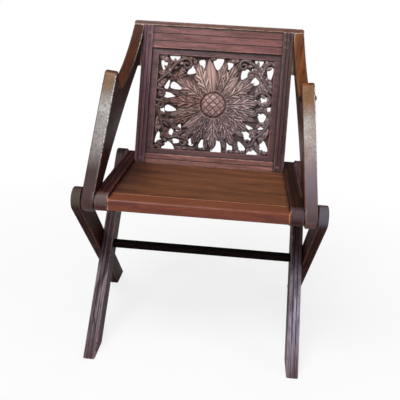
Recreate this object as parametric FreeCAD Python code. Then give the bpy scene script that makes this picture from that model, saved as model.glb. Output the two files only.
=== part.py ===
import FreeCAD, Part
import math
import os

# Glastonbury chair in oak: a pegged frame of crossed legs, seat rails, boomerang arms and a reclined
# panel back. Millimetres, +Z up, front towards -Y, built with y = 0 on the front pivot axis and then
# centred on its own footprint.

# Seat frame
seat_clear_width = 433.0
rail_thickness = 35.0
rail_height = 50.0
pivot_height = 436.0
pivot_spacing = 377.0
seat_above_pivot = 15.0
seat_cross_rail_thickness = 30.0
seat_front_depth = 48.0
seat_rear_depth = 30.0
seat_board_thickness = 22.0
seat_tongue_length = 10.0
seat_tongue_thickness = 11.0
housing_depth = 3.0

# Crossed legs
leg_thickness = 24.0
leg_width = 60.0
front_foot_setback = 5.0
rear_foot_setback = 430.0
stretcher_depth = 26.0
stretcher_height = 17.0
stretcher_tenon_diameter = 14.0

# Arms
arm_thickness = 31.0
arm_end_shoulder = 3.0
elbow_reach = 110.0
elbow_rise = 282.0
elbow_radius = 16.0
elbow_peg_back = 4.0
elbow_peg_drop = 22.0
elbow_back_angle = 35.0
arm_saddle_share = (0.47, 0.635)
arm_rise_share = (0.79, 0.725)
arm_belly_share = (0.40, 0.40)
arm_heel_share = 0.78

# Reclined back
back_setback = 294.0
back_recline = 18.4
back_height = 397.0
back_side_gap = 0.4
stile_width = 30.0
stile_depth = 28.0
stile_foot_length = 30.0
back_peg_drop = 6.0
top_rail_height = 63.0
bottom_rail_height = 29.0
rail_recess = 3.0
back_rail_depth = 22.0
cap_thickness = 12.0
cap_end_radius = 7.0
tenon_thickness = 9.0
tenon_length = 20.0
tenon_shoulder = 7.0

# Carved and pierced panel
panel_recess = 9.0
panel_thickness = 16.0
panel_tongue_length = 6.0
panel_tongue_thickness = 7.0
border_side = 20.0
border_top = 18.0
border_bottom = 17.0
field_drop = 3.0
web_thickness = 6.0
flower_disc_radius = 31.0
disc_rim_width = 5.0
disc_rise = 8.0
petal_count = 16
petal_half_width = 12.5
petal_ridge = 4.0
petal_layer_step = 3.0
petal_side_reach_share = 0.87
petal_top_reach_share = 0.96
scroll_band = 8.0
scroll_radius = 20.0
scroll_place_share = (0.90, 0.40)
corner_leaf_half_width = 12.0
corner_leaf_length = 66.0
# Corners of each opening, across and up, as shares of the half field.
piercing_shares = (
    ((0.08, 0.985), (0.24, 0.985), (0.155, 0.74)),
    ((0.36, 0.92), (0.52, 0.80), (0.40, 0.68)),
    ((0.60, 0.985), (0.84, 0.985), (0.70, 0.86)),
    ((0.985, 0.62), (0.985, 0.82), (0.86, 0.68)),
    ((0.60, 0.62), (0.76, 0.57), (0.61, 0.47)),
    ((0.70, 0.26), (0.81, 0.19), (0.72, 0.12)),
    ((0.985, 0.05), (0.985, 0.20), (0.90, 0.11)),
    ((0.86, 0.40), (0.94, 0.47), (0.94, 0.33)),
)

# Pegs, pins and clearances
peg_diameter = 18.0
peg_dome = 3.0
elbow_peg_dome = 6.0
peg_grip = 20.0
pin_diameter = 7.0
running_clearance = 0.06
joint_clearance = 0.3

# Edge finish
arris_radius = 2.5
arris_bevel = 1.5
arm_arris_radius = 5.0
seat_nosing_radius = 6.0
scratch_width = 1.8
scratch_depth = 1.4
overrun = 5.0

# Derived places
rail_inner = seat_clear_width / 2
rail_outer = rail_inner + rail_thickness
arm_outer = rail_outer + arm_thickness
leg_outer = arm_outer + leg_thickness
leg_radius = leg_width / 2
rail_radius = rail_height / 2
peg_radius = peg_diameter / 2
seat_top = pivot_height + seat_above_pivot
back_half_width = rail_inner - back_side_gap
stile_inner = back_half_width - stile_width
lean = math.radians(back_recline)
front_pivot = (0.0, pivot_height)
rear_pivot = (pivot_spacing, pivot_height)


def yz(y, z, x=0.0):
    return FreeCAD.Vector(x, y, z)


def box(x0, x1, y0, y1, z0, z1):
    return Part.makeBox(x1 - x0, y1 - y0, z1 - z0, FreeCAD.Vector(x0, y0, z0))


def prism_x(edges, x0, x1):
    """A flat outline in the plane x = 0, pulled sideways from x0 to x1."""
    face = Part.Face(Part.Wire(edges))
    solid = face.extrude(FreeCAD.Vector(x1 - x0, 0, 0))
    solid.translate(FreeCAD.Vector(x0, 0, 0))
    return solid


def polygon_edges(points):
    closed = list(points) + [points[0]]
    return [Part.makeLine(a, b) for a, b in zip(closed, closed[1:])]


def bezier(*points):
    curve = Part.BezierCurve()
    curve.setPoles(list(points))
    return curve.toShape()


def arc(a, b, c):
    return Part.Arc(a, b, c).toShape()


def rod_x(radius, x0, x1, y, z):
    return Part.makeCylinder(radius, x1 - x0, yz(y, z, x0), FreeCAD.Vector(1, 0, 0))


def dome_x(radius, rise, x, y, z, side=1):
    """A shallow cap on the end of a peg, standing out from the plane x."""
    ball_radius = (radius ** 2 + rise ** 2) / (2 * rise)
    ball = Part.makeSphere(ball_radius)
    ball.rotate(FreeCAD.Vector(0, 0, 0), FreeCAD.Vector(0, 0, 1), 180)
    ball.translate(FreeCAD.Vector(rise - ball_radius, 0, 0))
    cap = ball.common(rod_x(ball_radius, 0, ball_radius, 0, 0))
    if side < 0:
        cap.rotate(FreeCAD.Vector(0, 0, 0), FreeCAD.Vector(0, 0, 1), 180)
    cap.translate(yz(y, z, x))
    return cap


def rounded(solid, radius, keep):
    """The solid with every edge that the test picks worn round."""
    edges = [edge for edge in solid.Edges if keep(edge)]
    return solid.makeFillet(radius, edges)


def in_side_plane(edge, tolerance=0.001):
    """True for the edges of a board that run round one of its two broad sides."""
    return edge.BoundBox.XLength < tolerance


def eased(solid, hidden_x):
    """Arrises of a board worn round, and only bevelled on the side against its neighbour."""

    def hidden(edge):
        return in_side_plane(edge) and abs(edge.BoundBox.XMin - hidden_x) < arris_bevel

    def open_side(edge):
        return in_side_plane(edge) and abs(edge.BoundBox.XMin - hidden_x) > arris_radius

    bevelled = solid.makeChamfer(arris_bevel, [edge for edge in solid.Edges if hidden(edge)])
    return rounded(bevelled, arris_radius, open_side)


def mirrored(solid):
    return solid.mirror(FreeCAD.Vector(0, 0, 0), FreeCAD.Vector(1, 0, 0))


def on_back(solid):
    """Lean a piece drawn upright (x, depth, height above the seat) into the reclined back."""
    placed = solid.copy()
    placed.rotate(FreeCAD.Vector(0, 0, 0), FreeCAD.Vector(1, 0, 0), -back_recline)
    placed.translate(FreeCAD.Vector(0, back_setback, seat_top))
    return placed


def back_point(depth, height):
    y = back_setback + depth * math.cos(lean) + height * math.sin(lean)
    z = seat_top - depth * math.sin(lean) + height * math.cos(lean)
    return y, z


def tangent_point(centre, radius, outside, turn):
    """Where a line from an outside point touches a circle, on the side that turn picks."""
    dy = outside[0] - centre[0]
    dz = outside[1] - centre[1]
    bearing = math.atan2(dz, dy)
    swing = math.acos(radius / math.hypot(dy, dz))
    angle = bearing + turn * swing
    return centre[0] + radius * math.cos(angle), centre[1] + radius * math.sin(angle)


def scratch_lines(length, width, count):
    """Parallel scratched lines along y, sunk from the top of a board that lies at z = 0."""
    lines = []
    for index in range(count):
        middle = width * (index + 1) / (count + 1) - width / 2
        lines.append(box(middle - scratch_width / 2, middle + scratch_width / 2,
                         0, length, -scratch_depth, overrun))
    return Part.makeCompound(lines)


def seat_rail():
    top = pivot_height + rail_radius
    bottom = pivot_height - rail_radius
    back = pivot_spacing
    outline = [
        Part.makeLine(yz(0, top), yz(back, top)),
        arc(yz(back, top), yz(back + rail_radius, pivot_height), yz(back, bottom)),
        Part.makeLine(yz(back, bottom), yz(0, bottom)),
        arc(yz(0, bottom), yz(-rail_radius, pivot_height), yz(0, top)),
    ]
    rail = eased(prism_x(outline, rail_inner, rail_outer), rail_outer)
    for y, z in (front_pivot, rear_pivot, foot_peg_place()):
        rail = rail.cut(rod_x(peg_radius + running_clearance, rail_inner - overrun, rail_outer + overrun, y, z))
    tongue_low = seat_top - seat_board_thickness / 2 - seat_tongue_thickness / 2
    groove_end = back_point(0, -seat_board_thickness)[0]
    rail = rail.cut(box(rail_inner - overrun, rail_inner + seat_tongue_length,
                        seat_front_back(), groove_end + overrun,
                        tongue_low, tongue_low + seat_tongue_thickness))
    for y0, y1 in seat_cross_rail_spans():
        rail = rail.cut(box(rail_inner - overrun, rail_inner + housing_depth, y0, y1,
                            seat_top - seat_cross_rail_thickness, seat_top))
    lines = scratch_lines(back, rail_thickness, 2)
    lines.translate(FreeCAD.Vector(rail_inner + rail_thickness / 2, 0, top))
    return rail.cut(lines)


def seat_front_back():
    return seat_front_depth - leg_radius


def seat_cross_rail_spans():
    """Front and rear ends, along y, of the two rails that tie the seat rails together."""
    front = (-leg_radius, seat_front_back())
    rear = (pivot_spacing - seat_rear_depth / 2, pivot_spacing + seat_rear_depth / 2)
    return front, rear


def seat_cross_rail(y0, y1, nosing):
    low = seat_top - seat_cross_rail_thickness
    reach = rail_inner + housing_depth
    body = box(-rail_inner, rail_inner, y0, y1, low, seat_top)

    def front_arris(edge):
        bounds = edge.BoundBox
        along = bounds.XLength > seat_clear_width / 2
        return along and bounds.YMax < (y0 + y1) / 2 and bounds.YLength < scratch_depth

    if nosing > 0:
        body = rounded(body, nosing, front_arris)
        ends = box(-reach, reach, y0 + nosing, y1, low, seat_top)
    else:
        ends = box(-reach, reach, y0, y1, low, seat_top)
    rail = body.fuse(ends).removeSplitter()
    y = 0 if nosing > 0 else pivot_spacing
    for side in (1, -1):
        x0 = min(side * (rail_inner - peg_grip), side * (reach + overrun))
        x1 = max(side * (rail_inner - peg_grip), side * (reach + overrun))
        rail = rail.cut(rod_x(peg_radius + running_clearance, x0, x1, y, pivot_height))
    return rail


def seat_board():
    """One wide board with tongued ends, bevelled behind where the reclined back passes it."""
    low = seat_top - seat_board_thickness
    front = seat_front_back()
    rear_top = back_point(0, 0)[0]
    rear_low = rear_top - seat_board_thickness * math.tan(lean)
    tongue_low = seat_top - seat_board_thickness / 2 - seat_tongue_thickness / 2
    tongue_high = tongue_low + seat_tongue_thickness
    outline = polygon_edges([yz(front, low), yz(rear_low, low), yz(rear_top, seat_top), yz(front, seat_top)])
    board = prism_x(outline, -rail_inner, rail_inner)
    reach = rail_inner + seat_tongue_length
    tongue = box(-reach, reach, front, rear_low, tongue_low, tongue_high)
    return board.fuse(tongue).removeSplitter()


def leg_frame(head, foot_y):
    """Unit steps down the leg and across it, and its length from head centre to the floor."""
    down_y = foot_y - head[0]
    down_z = -head[1]
    length = math.hypot(down_y, down_z)
    return (down_y / length, down_z / length), (-down_z / length, down_y / length), length


def leg(head, foot_y, x0, x1):
    """A straight board with a round head at its peg and a foot cut level with the floor."""
    down, across, length = leg_frame(head, foot_y)

    def side_point(side, z):
        start_y = head[0] + side * leg_radius * across[0]
        start_z = head[1] + side * leg_radius * across[1]
        travel = (z - start_z) / down[1]
        return yz(start_y + travel * down[0], z)

    head_one = yz(head[0] + leg_radius * across[0], head[1] + leg_radius * across[1])
    head_two = yz(head[0] - leg_radius * across[0], head[1] - leg_radius * across[1])
    crown = yz(head[0] - leg_radius * down[0], head[1] - leg_radius * down[1])
    outline = [
        arc(head_two, crown, head_one),
        Part.makeLine(head_one, side_point(1, 0)),
        Part.makeLine(side_point(1, 0), side_point(-1, 0)),
        Part.makeLine(side_point(-1, 0), head_two),
    ]
    board = eased(prism_x(outline, x0, x1), x0)
    board = board.cut(rod_x(peg_radius + running_clearance, x0 - overrun, x1 + overrun, *head))
    cross_y, cross_z = leg_crossing()
    tenon_hole = stretcher_tenon_diameter / 2 + running_clearance
    board = board.cut(rod_x(tenon_hole, x0 - overrun, x1 + overrun, cross_y, cross_z))
    return board.cut(leg_scratches(head, foot_y, x0, x1))


def leg_scratches(head, foot_y, x0, x1):
    """Two scratched lines down each narrow edge, from below the head to above the floor."""
    down, across, length = leg_frame(head, foot_y)
    run = length - leg_width - leg_radius
    cutters = []
    for side in (1, -1):
        lines = scratch_lines(run, x1 - x0, 2)
        matrix = FreeCAD.Matrix(
            1, 0, 0, (x0 + x1) / 2,
            0, down[0], side * across[0], head[0] + leg_radius * (side * across[0] + down[0]),
            0, down[1], side * across[1], head[1] + leg_radius * (side * across[1] + down[1]),
            0, 0, 0, 1)
        for line in lines.Solids:
            corners = [matrix.multVec(vertex.Point) for vertex in line.Vertexes]
            cutters.append(hull_of_box(corners))
    return Part.makeCompound(cutters)


def hull_of_box(corners):
    """A straight bar through eight corners in the order that a box lists them."""
    low_x = min(corner.x for corner in corners)
    high_x = max(corner.x for corner in corners)
    side = [corner for corner in corners if corner.x - low_x < (high_x - low_x) / 2]
    middle = side[0]
    for corner in side[1:]:
        middle = middle.add(corner)
    middle = middle.multiply(1 / len(side))
    side.sort(key=lambda corner: math.atan2(corner.z - middle.z, corner.y - middle.y))
    face = Part.Face(Part.Wire(polygon_edges(side)))
    return face.extrude(FreeCAD.Vector(high_x - low_x, 0, 0))


def leg_crossing():
    """Where the axes of the two legs of a side cross, seen from the side."""
    down_a, across_a, length_a = leg_frame(rear_pivot, front_foot_setback)
    down_b, across_b, length_b = leg_frame(front_pivot, rear_foot_setback)
    gap_y = front_pivot[0] - rear_pivot[0]
    gap_z = front_pivot[1] - rear_pivot[1]
    turn = down_a[0] * down_b[1] - down_a[1] * down_b[0]
    travel = (gap_y * down_b[1] - gap_z * down_b[0]) / turn
    return rear_pivot[0] + travel * down_a[0], rear_pivot[1] + travel * down_a[1]


def stretcher():
    """The bar between the crossings, with round tenons through both legs of each side."""
    y, z = leg_crossing()
    bar = box(-rail_outer, rail_outer, y - stretcher_depth / 2, y + stretcher_depth / 2,
              z - stretcher_height / 2, z + stretcher_height / 2)
    bar = rounded(bar, arris_radius, lambda edge: edge.BoundBox.XLength > seat_clear_width)
    tenon = stretcher_tenon_diameter / 2
    rod = rod_x(tenon, -leg_outer, leg_outer, y, z)
    whole = bar.fuse(rod)
    for side in (1, -1):
        whole = whole.fuse(dome_x(tenon, peg_dome, side * leg_outer, y, z, side))
    return whole.removeSplitter()


def elbow_peg_place():
    return elbow_reach + elbow_peg_back, pivot_height + elbow_rise - elbow_peg_drop


def back_peg_place():
    return back_point(stile_depth / 2, back_height - top_rail_height - back_peg_drop)


def foot_peg_place():
    return back_point(stile_depth / 2, -stile_foot_length / 2)


def arm_tilt():
    """Lean of the flat arm, from the side of its seat rail in to the side of the back."""
    return math.atan2(rail_outer - back_half_width - arm_end_shoulder, back_peg_place()[1] - pivot_height)


def tilted(solid):
    """Lean a piece drawn with the arm upright against its seat rail."""
    placed = solid.copy()
    placed.rotate(yz(0, pivot_height, rail_outer), FreeCAD.Vector(0, 1, 0), -math.degrees(arm_tilt()))
    return placed


def arm_outer_at(z):
    """Outer face of the leaning arm at a height above the floor."""
    return rail_outer + arm_thickness / math.cos(arm_tilt()) - (z - pivot_height) * math.tan(arm_tilt())


def arm_outline():
    """Knuckle, straight front edge, rounded elbow, saddle up to the back, heel and belly."""
    crown = back_point(0, back_height)
    span_y = crown[0]
    span_z = crown[1] - pivot_height

    def share(pair):
        return pair[0] * span_y, pivot_height + pair[1] * span_z

    elbow = (elbow_reach, pivot_height + elbow_rise)
    rise = math.atan2(elbow_rise, elbow_reach)
    slip = math.asin((leg_radius - elbow_radius) / math.hypot(elbow_reach, elbow_rise))
    normal = rise + math.pi / 2 - slip
    out = (math.cos(normal), math.sin(normal))
    front_low = (leg_radius * out[0], pivot_height + leg_radius * out[1])
    front_high = (elbow[0] + elbow_radius * out[0], elbow[1] + elbow_radius * out[1])
    along = (math.sin(normal), -math.cos(normal))
    elbow_top = (elbow[0] + elbow_radius * along[0], elbow[1] + elbow_radius * along[1])
    fall = math.radians(elbow_back_angle)
    elbow_back = (elbow[0] + elbow_radius * math.cos(fall), elbow[1] + elbow_radius * math.sin(fall))
    saddle = share(arm_saddle_share)
    climb = share(arm_rise_share)
    slope = (climb[1] - saddle[1]) / (climb[0] - saddle[0])
    drop = -math.cos(fall) / math.sin(fall)
    dip_y = (elbow_back[1] - drop * elbow_back[0] - saddle[1] + slope * saddle[0]) / (slope - drop)
    dip = (dip_y, saddle[1] + slope * (dip_y - saddle[0]))
    crown_rear = back_point(stile_depth, back_height)
    heel = back_point(stile_depth, back_height * arm_heel_share)
    belly = share(arm_belly_share)
    knuckle_rear = tangent_point(front_pivot, leg_radius, belly, -1)
    knuckle_low = (0.0, pivot_height - leg_radius)
    return [
        Part.makeLine(yz(*front_low), yz(*front_high)),
        arc(yz(*front_high), yz(*elbow_top), yz(*elbow_back)),
        bezier(yz(*elbow_back), yz(*dip), yz(*saddle)),
        bezier(yz(*saddle), yz(*climb), yz(*crown)),
        Part.makeLine(yz(*crown), yz(*crown_rear)),
        Part.makeLine(yz(*crown_rear), yz(*heel)),
        bezier(yz(*heel), yz(*belly), yz(*knuckle_rear)),
        arc(yz(*knuckle_rear), yz(*knuckle_low), yz(*front_low)),
    ]


def arm_worn(edge):
    """The long arrises on both sides of the arm, but not those of its end against the back."""
    end_line = back_point(stile_depth, 0)
    middle = edge.CenterOfMass
    behind = (middle.y - end_line[0]) * math.cos(lean) - (middle.z - end_line[1]) * math.sin(lean)
    above = (middle.y - back_setback) * math.sin(lean) + (middle.z - seat_top) * math.cos(lean)
    at_end = behind > -overrun or above > back_height - overrun
    return in_side_plane(edge) and not at_end


def arm():
    """A flat board leaning inwards, planed upright where it meets seat rail, leg and back."""
    blade = rounded(prism_x(arm_outline(), rail_outer, arm_outer), arm_arris_radius, arm_worn)
    blade = blade.cut(rod_x(peg_radius + running_clearance, 0, leg_outer, *elbow_peg_place()))
    crown = back_point(0, back_height)
    between_sides = box(back_half_width, arm_outer, -leg_width, crown[0] + leg_width, 0, crown[1] + leg_width)
    rail_side = box(rail_inner, rail_outer, -leg_width, pivot_spacing,
                    0, pivot_height + rail_radius + joint_clearance)
    blade = tilted(blade).common(between_sides).cut(rail_side)
    outline_board = prism_x(arm_outline(), back_half_width, arm_outer)
    stile_side = on_back(box(back_half_width, back_half_width + arm_thickness / 2, 0, stile_depth,
                             0, back_height))
    whole = blade.fuse(outline_board.common(stile_side))
    whole = whole.cut(on_back(box(0, arm_outer, -leg_width, leg_width, back_height, back_height + leg_width)))
    for place in (front_pivot, back_peg_place()):
        whole = whole.cut(rod_x(peg_radius + running_clearance, 0, leg_outer, *place))
    return whole.removeSplitter()


def peg(x0, x1, place, rise):
    """A plain round peg whose outer end is a shallow dome."""
    y, z = place
    return rod_x(peg_radius, x0, x1, y, z).fuse(dome_x(peg_radius, rise, x1, y, z)).removeSplitter()


def elbow_peg():
    """A short through peg in the elbow, domed on both faces of the arm."""
    y, z = elbow_peg_place()
    rod = rod_x(peg_radius, rail_outer, arm_outer, y, z)
    outside = dome_x(peg_radius, elbow_peg_dome, arm_outer, y, z)
    inside = dome_x(peg_radius, elbow_peg_dome, rail_outer, y, z, -1)
    return tilted(rod.fuse(outside).fuse(inside).removeSplitter())


def stile():
    """One upright of the back, mortised for both rails, grooved for the panel, bored for its pegs."""
    upright = box(stile_inner, back_half_width, 0, stile_depth, -stile_foot_length, back_height)
    upright = rounded(upright, arris_radius, lambda edge: edge.BoundBox.ZLength > back_height / 2)
    for low, high in tenon_spans():
        upright = upright.cut(box(stile_inner - overrun, stile_inner + tenon_length + joint_clearance,
                                  *tenon_depths(), low, high))
    groove_low, groove_high = panel_span()
    upright = upright.cut(box(stile_inner - overrun, stile_inner + panel_tongue_length + joint_clearance,
                              *tongue_depths(), groove_low, groove_high))
    lines = scratch_lines(back_height, stile_width, 2)
    lines.rotate(FreeCAD.Vector(0, 0, 0), FreeCAD.Vector(1, 0, 0), 90)
    lines.translate(FreeCAD.Vector(stile_inner + stile_width / 2, 0, 0))
    upright = upright.cut(lines)
    upright = upright.cut(Part.makeCompound([back_pin(x, z, running_clearance) for x, z in back_pin_places()]))
    placed = on_back(upright)
    for place in (back_peg_place(), foot_peg_place()):
        placed = placed.cut(rod_x(peg_radius + running_clearance, back_half_width - peg_grip,
                                  leg_outer, *place))
    return placed


def tenon_depths():
    middle = rail_recess + back_rail_depth / 2
    return middle - tenon_thickness / 2, middle + tenon_thickness / 2


def tongue_depths():
    middle = panel_recess + panel_thickness / 2
    return middle - panel_tongue_thickness / 2, middle + panel_tongue_thickness / 2


def panel_span():
    """Height of the panel with its tongues, measured up the back from the seat."""
    return bottom_rail_height - panel_tongue_length, back_height - top_rail_height + panel_tongue_length


def tenon_spans():
    bottom = (tenon_shoulder, bottom_rail_height - tenon_shoulder)
    top = (back_height - top_rail_height + tenon_shoulder, back_height - tenon_shoulder)
    return bottom, top


def back_pin_places():
    """Pins through the tenons on the right stile: one in the bottom rail, two in the top rail."""
    x = stile_inner + tenon_length / 2
    top_low = back_height - top_rail_height
    return [(x, bottom_rail_height / 2), (x, top_low + top_rail_height / 3), (x, top_low + top_rail_height * 2 / 3)]


def back_pin(x, height, clearance):
    length = tenon_depths()[1]
    return Part.makeCylinder(pin_diameter / 2 + clearance, length,
                             FreeCAD.Vector(x, 0, height), FreeCAD.Vector(0, 1, 0))


def back_pins():
    right = [on_back(back_pin(x, z, 0)) for x, z in back_pin_places()]
    return Part.makeCompound(right + [mirrored(pin) for pin in right])


def back_rail(low, high, tenon_low, tenon_high, groove_low, groove_high):
    """A rail of the back between the stiles, tenoned at both ends and grooved for the panel."""
    rail = box(-stile_inner, stile_inner, rail_recess, rail_recess + back_rail_depth, low, high)
    rail = rounded(rail, arris_radius / 2,
                   lambda edge: edge.BoundBox.XLength > stile_inner and edge.BoundBox.YMax < panel_recess)
    reach = stile_inner + tenon_length
    rail = rail.fuse(box(-reach, reach, *tenon_depths(), tenon_low, tenon_high))
    rail = rail.cut(box(-stile_inner - overrun, stile_inner + overrun, *tongue_depths(), groove_low, groove_high))
    lines = scratch_lines(2 * stile_inner, high - low, 2 if high - low > top_rail_height / 2 else 1)
    lines.rotate(FreeCAD.Vector(0, 0, 0), FreeCAD.Vector(0, 0, 1), -90)
    lines.rotate(FreeCAD.Vector(0, 0, 0), FreeCAD.Vector(1, 0, 0), 90)
    lines.translate(FreeCAD.Vector(-stile_inner, rail_recess, (low + high) / 2))
    rail = rail.cut(lines)
    pins = [back_pin(x, z, running_clearance) for x, z in back_pin_places()]
    return on_back(rail.cut(Part.makeCompound(pins + [mirrored(pin) for pin in pins])).removeSplitter())


def back_bottom_rail():
    tenon_low, tenon_high = tenon_spans()[0]
    return back_rail(0, bottom_rail_height, tenon_low, tenon_high,
                     panel_span()[0], bottom_rail_height + overrun)


def back_top_rail():
    tenon_low, tenon_high = tenon_spans()[1]
    low = back_height - top_rail_height
    return back_rail(low, back_height, tenon_low, tenon_high, low - overrun, panel_span()[1])


def back_cap():
    """The strip along the top of the back that also closes the ends of both arms."""
    reach = arm_outer_at(back_point(0, back_height)[1])
    cap = box(-reach, reach, 0, stile_depth, back_height, back_height + cap_thickness)

    def outer_corner(edge):
        bounds = edge.BoundBox
        return bounds.ZMin > back_height + cap_thickness / 2 and bounds.XLength < overrun

    cap = rounded(cap, cap_end_radius, outer_corner)

    def long_top(edge):
        bounds = edge.BoundBox
        return bounds.ZMin > back_height + cap_thickness / 2 and bounds.YLength < overrun

    return on_back(rounded(cap, arris_radius, long_top))


def field_centre():
    low = bottom_rail_height + border_bottom
    high = back_height - top_rail_height - border_top
    return (low + high) / 2, (high - low) / 2


def flat_prism(edges, depth, thickness):
    """An outline drawn in x and height, at y = 0, pulled back into the panel."""
    solid = Part.Face(Part.Wire(edges)).extrude(FreeCAD.Vector(0, thickness, 0))
    solid.translate(FreeCAD.Vector(0, depth, 0))
    return solid


def leaf_edges(length, half_width):
    """Two arcs from root to tip, along +x from the origin."""
    root = FreeCAD.Vector(0, 0, 0)
    tip = FreeCAD.Vector(length, 0, 0)
    upper = FreeCAD.Vector(length / 2, 0, half_width)
    lower = FreeCAD.Vector(length / 2, 0, -half_width)
    return [arc(root, upper, tip), arc(tip, lower, root)]


def ridged_leaf(length, half_width, front, angle, x, z):
    """A leaf with a raised midrib, turned about the panel's face and set at x, z."""
    back = panel_recess + panel_thickness - field_drop
    leaf = flat_prism(leaf_edges(length, half_width), front, back - front)
    wide = half_width + overrun
    eave = front + petal_ridge * wide / half_width
    gable = [
        FreeCAD.Vector(-overrun, front, 0), FreeCAD.Vector(-overrun, eave, wide),
        FreeCAD.Vector(-overrun, back + overrun, wide), FreeCAD.Vector(-overrun, back + overrun, -wide),
        FreeCAD.Vector(-overrun, eave, -wide),
    ]
    reach = length + overrun + overrun
    roof = Part.Face(Part.Wire(polygon_edges(gable))).extrude(FreeCAD.Vector(reach, 0, 0))
    leaf = leaf.common(roof)
    leaf.rotate(FreeCAD.Vector(0, 0, 0), FreeCAD.Vector(0, 1, 0), -math.degrees(angle))
    leaf.translate(FreeCAD.Vector(x, 0, z))
    return leaf


def petals(middle, half_width, half_height):
    """The sunflower's petals in two layers, reaching an oval inside the field."""
    reach_x = half_width * petal_side_reach_share
    reach_z = half_height * petal_top_reach_share
    leaves = []
    for index in range(petal_count):
        angle = 2 * math.pi * index / petal_count
        reach = 1 / math.hypot(math.cos(angle) / reach_x, math.sin(angle) / reach_z)
        front = panel_recess + field_drop + (index % 2) * petal_layer_step
        leaves.append(ridged_leaf(reach - flower_disc_radius, petal_half_width, front, angle,
                                  flower_disc_radius * math.cos(angle),
                                  middle + flower_disc_radius * math.sin(angle)))
    return leaves


def flower_disc(middle):
    """The domed seed head with a raised rim round it."""
    back = panel_recess + panel_thickness - field_drop
    front = panel_recess + field_drop
    rim = Part.makeCylinder(flower_disc_radius + disc_rim_width, back - front + petal_ridge,
                            FreeCAD.Vector(0, front - petal_ridge, middle), FreeCAD.Vector(0, 1, 0))
    dish = Part.makeCylinder(flower_disc_radius, petal_ridge,
                             FreeCAD.Vector(0, front - petal_ridge, middle), FreeCAD.Vector(0, 1, 0))
    dome = dome_x(flower_disc_radius, disc_rise, 0, 0, 0)
    dome.rotate(FreeCAD.Vector(0, 0, 0), FreeCAD.Vector(0, 0, 1), -90)
    dome.translate(FreeCAD.Vector(0, front, middle))
    return rim.cut(dish).fuse(dome)


def ring(radius, band, x, z):
    back = panel_recess + panel_thickness - field_drop
    front = panel_recess + field_drop
    outer = Part.makeCylinder(radius, back - front, FreeCAD.Vector(x, front, z), FreeCAD.Vector(0, 1, 0))
    inner = Part.makeCylinder(radius - band, back - front, FreeCAD.Vector(x, front, z), FreeCAD.Vector(0, 1, 0))
    return outer.cut(inner)


def corner_scrolls(middle, half_width, half_height):
    """A scroll and a leaf in each corner of the field, alike by reflection."""
    pieces = []
    front = panel_recess + field_drop
    for side in (1, -1):
        for up in (1, -1):
            across, rise = scroll_place_share
            pieces.append(ring(scroll_radius, scroll_band, side * across * half_width,
                               middle + up * rise * half_height))
            inward = math.atan2(-up * half_height, -side * half_width)
            pieces.append(ridged_leaf(corner_leaf_length, corner_leaf_half_width, front, inward,
                                      side * half_width, middle + up * half_height))
    return pieces


def piercings(middle, half_width, half_height):
    """Three-cornered openings between the petal tips, the scrolls and the border, alike by reflection."""
    cutters = []
    for corners in piercing_shares:
        for side in (1, -1):
            for up in (1, -1):
                points = [FreeCAD.Vector(side * across * half_width, 0, middle + up * rise * half_height)
                          for across, rise in corners]
                cutters.append(flat_prism(polygon_edges(points), -overrun, stile_depth + overrun))
    return Part.makeCompound(cutters)


def carved_panel():
    """A framed board, its field lowered, carved with a sunflower among scrolls and pierced."""
    middle, half_height = field_centre()
    half_width = stile_inner - border_side
    low = bottom_rail_height
    high = back_height - top_rail_height
    back = panel_recess + panel_thickness
    board = box(-stile_inner, stile_inner, panel_recess, back, low, high)
    reach = stile_inner + panel_tongue_length
    board = board.fuse(box(-reach, reach, *tongue_depths(), *panel_span()))
    window = box(-half_width, half_width, -overrun, stile_depth + overrun,
                 middle - half_height, middle + half_height)
    web = box(-half_width - overrun, half_width + overrun, back - field_drop - web_thickness, back - field_drop,
              middle - half_height - overrun, middle + half_height + overrun)
    carving = petals(middle, half_width, half_height) + corner_scrolls(middle, half_width, half_height)
    carving.append(flower_disc(middle))
    field = web.multiFuse([piece.common(window) for piece in carving])
    panel = board.cut(window).fuse(field)
    return on_back(panel.cut(piercings(middle, half_width, half_height)))


def pair(name, solid):
    return {name + "_right": solid, name + "_left": mirrored(solid)}


def chair():
    front_span, rear_span = seat_cross_rail_spans()
    nodes = {
        "seat_board": seat_board(),
        "seat_front_rail": seat_cross_rail(*front_span, seat_nosing_radius),
        "seat_rear_rail": seat_cross_rail(*rear_span, 0),
        "stretcher": stretcher(),
        "back_top_rail": back_top_rail(),
        "back_bottom_rail": back_bottom_rail(),
        "back_cap": back_cap(),
        "back_frame_pins": back_pins(),
        "carved_panel": carved_panel(),
    }
    nodes.update(pair("seat_rail", seat_rail()))
    nodes.update(pair("inner_leg", leg(rear_pivot, front_foot_setback, rail_outer, arm_outer)))
    nodes.update(pair("outer_leg", leg(front_pivot, rear_foot_setback, arm_outer, leg_outer)))
    nodes.update(pair("arm", arm()))
    nodes.update(pair("back_stile", stile()))
    nodes.update(pair("elbow_peg", elbow_peg()))
    nodes.update(pair("front_pivot_peg", peg(rail_inner - peg_grip, leg_outer, front_pivot, peg_dome)))
    nodes.update(pair("rear_pivot_peg", peg(rail_inner - peg_grip, arm_outer, rear_pivot, peg_dome)))
    nodes.update(pair("back_peg", peg(back_half_width - peg_grip, back_half_width + arm_thickness,
                                      back_peg_place(), peg_dome)))
    nodes.update(pair("foot_peg", peg(back_half_width - peg_grip, rail_outer, foot_peg_place(), peg_dome)))
    return nodes


def centred(nodes):
    """Every node moved so that the chair stands centred on the origin, feet on z = 0."""
    bounds = FreeCAD.BoundBox()
    for solid in nodes.values():
        bounds.add(solid.BoundBox)
    shift = FreeCAD.Vector(-bounds.Center.x, -bounds.Center.y, 0)
    for solid in nodes.values():
        solid.translate(shift)
    return nodes, shift


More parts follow.
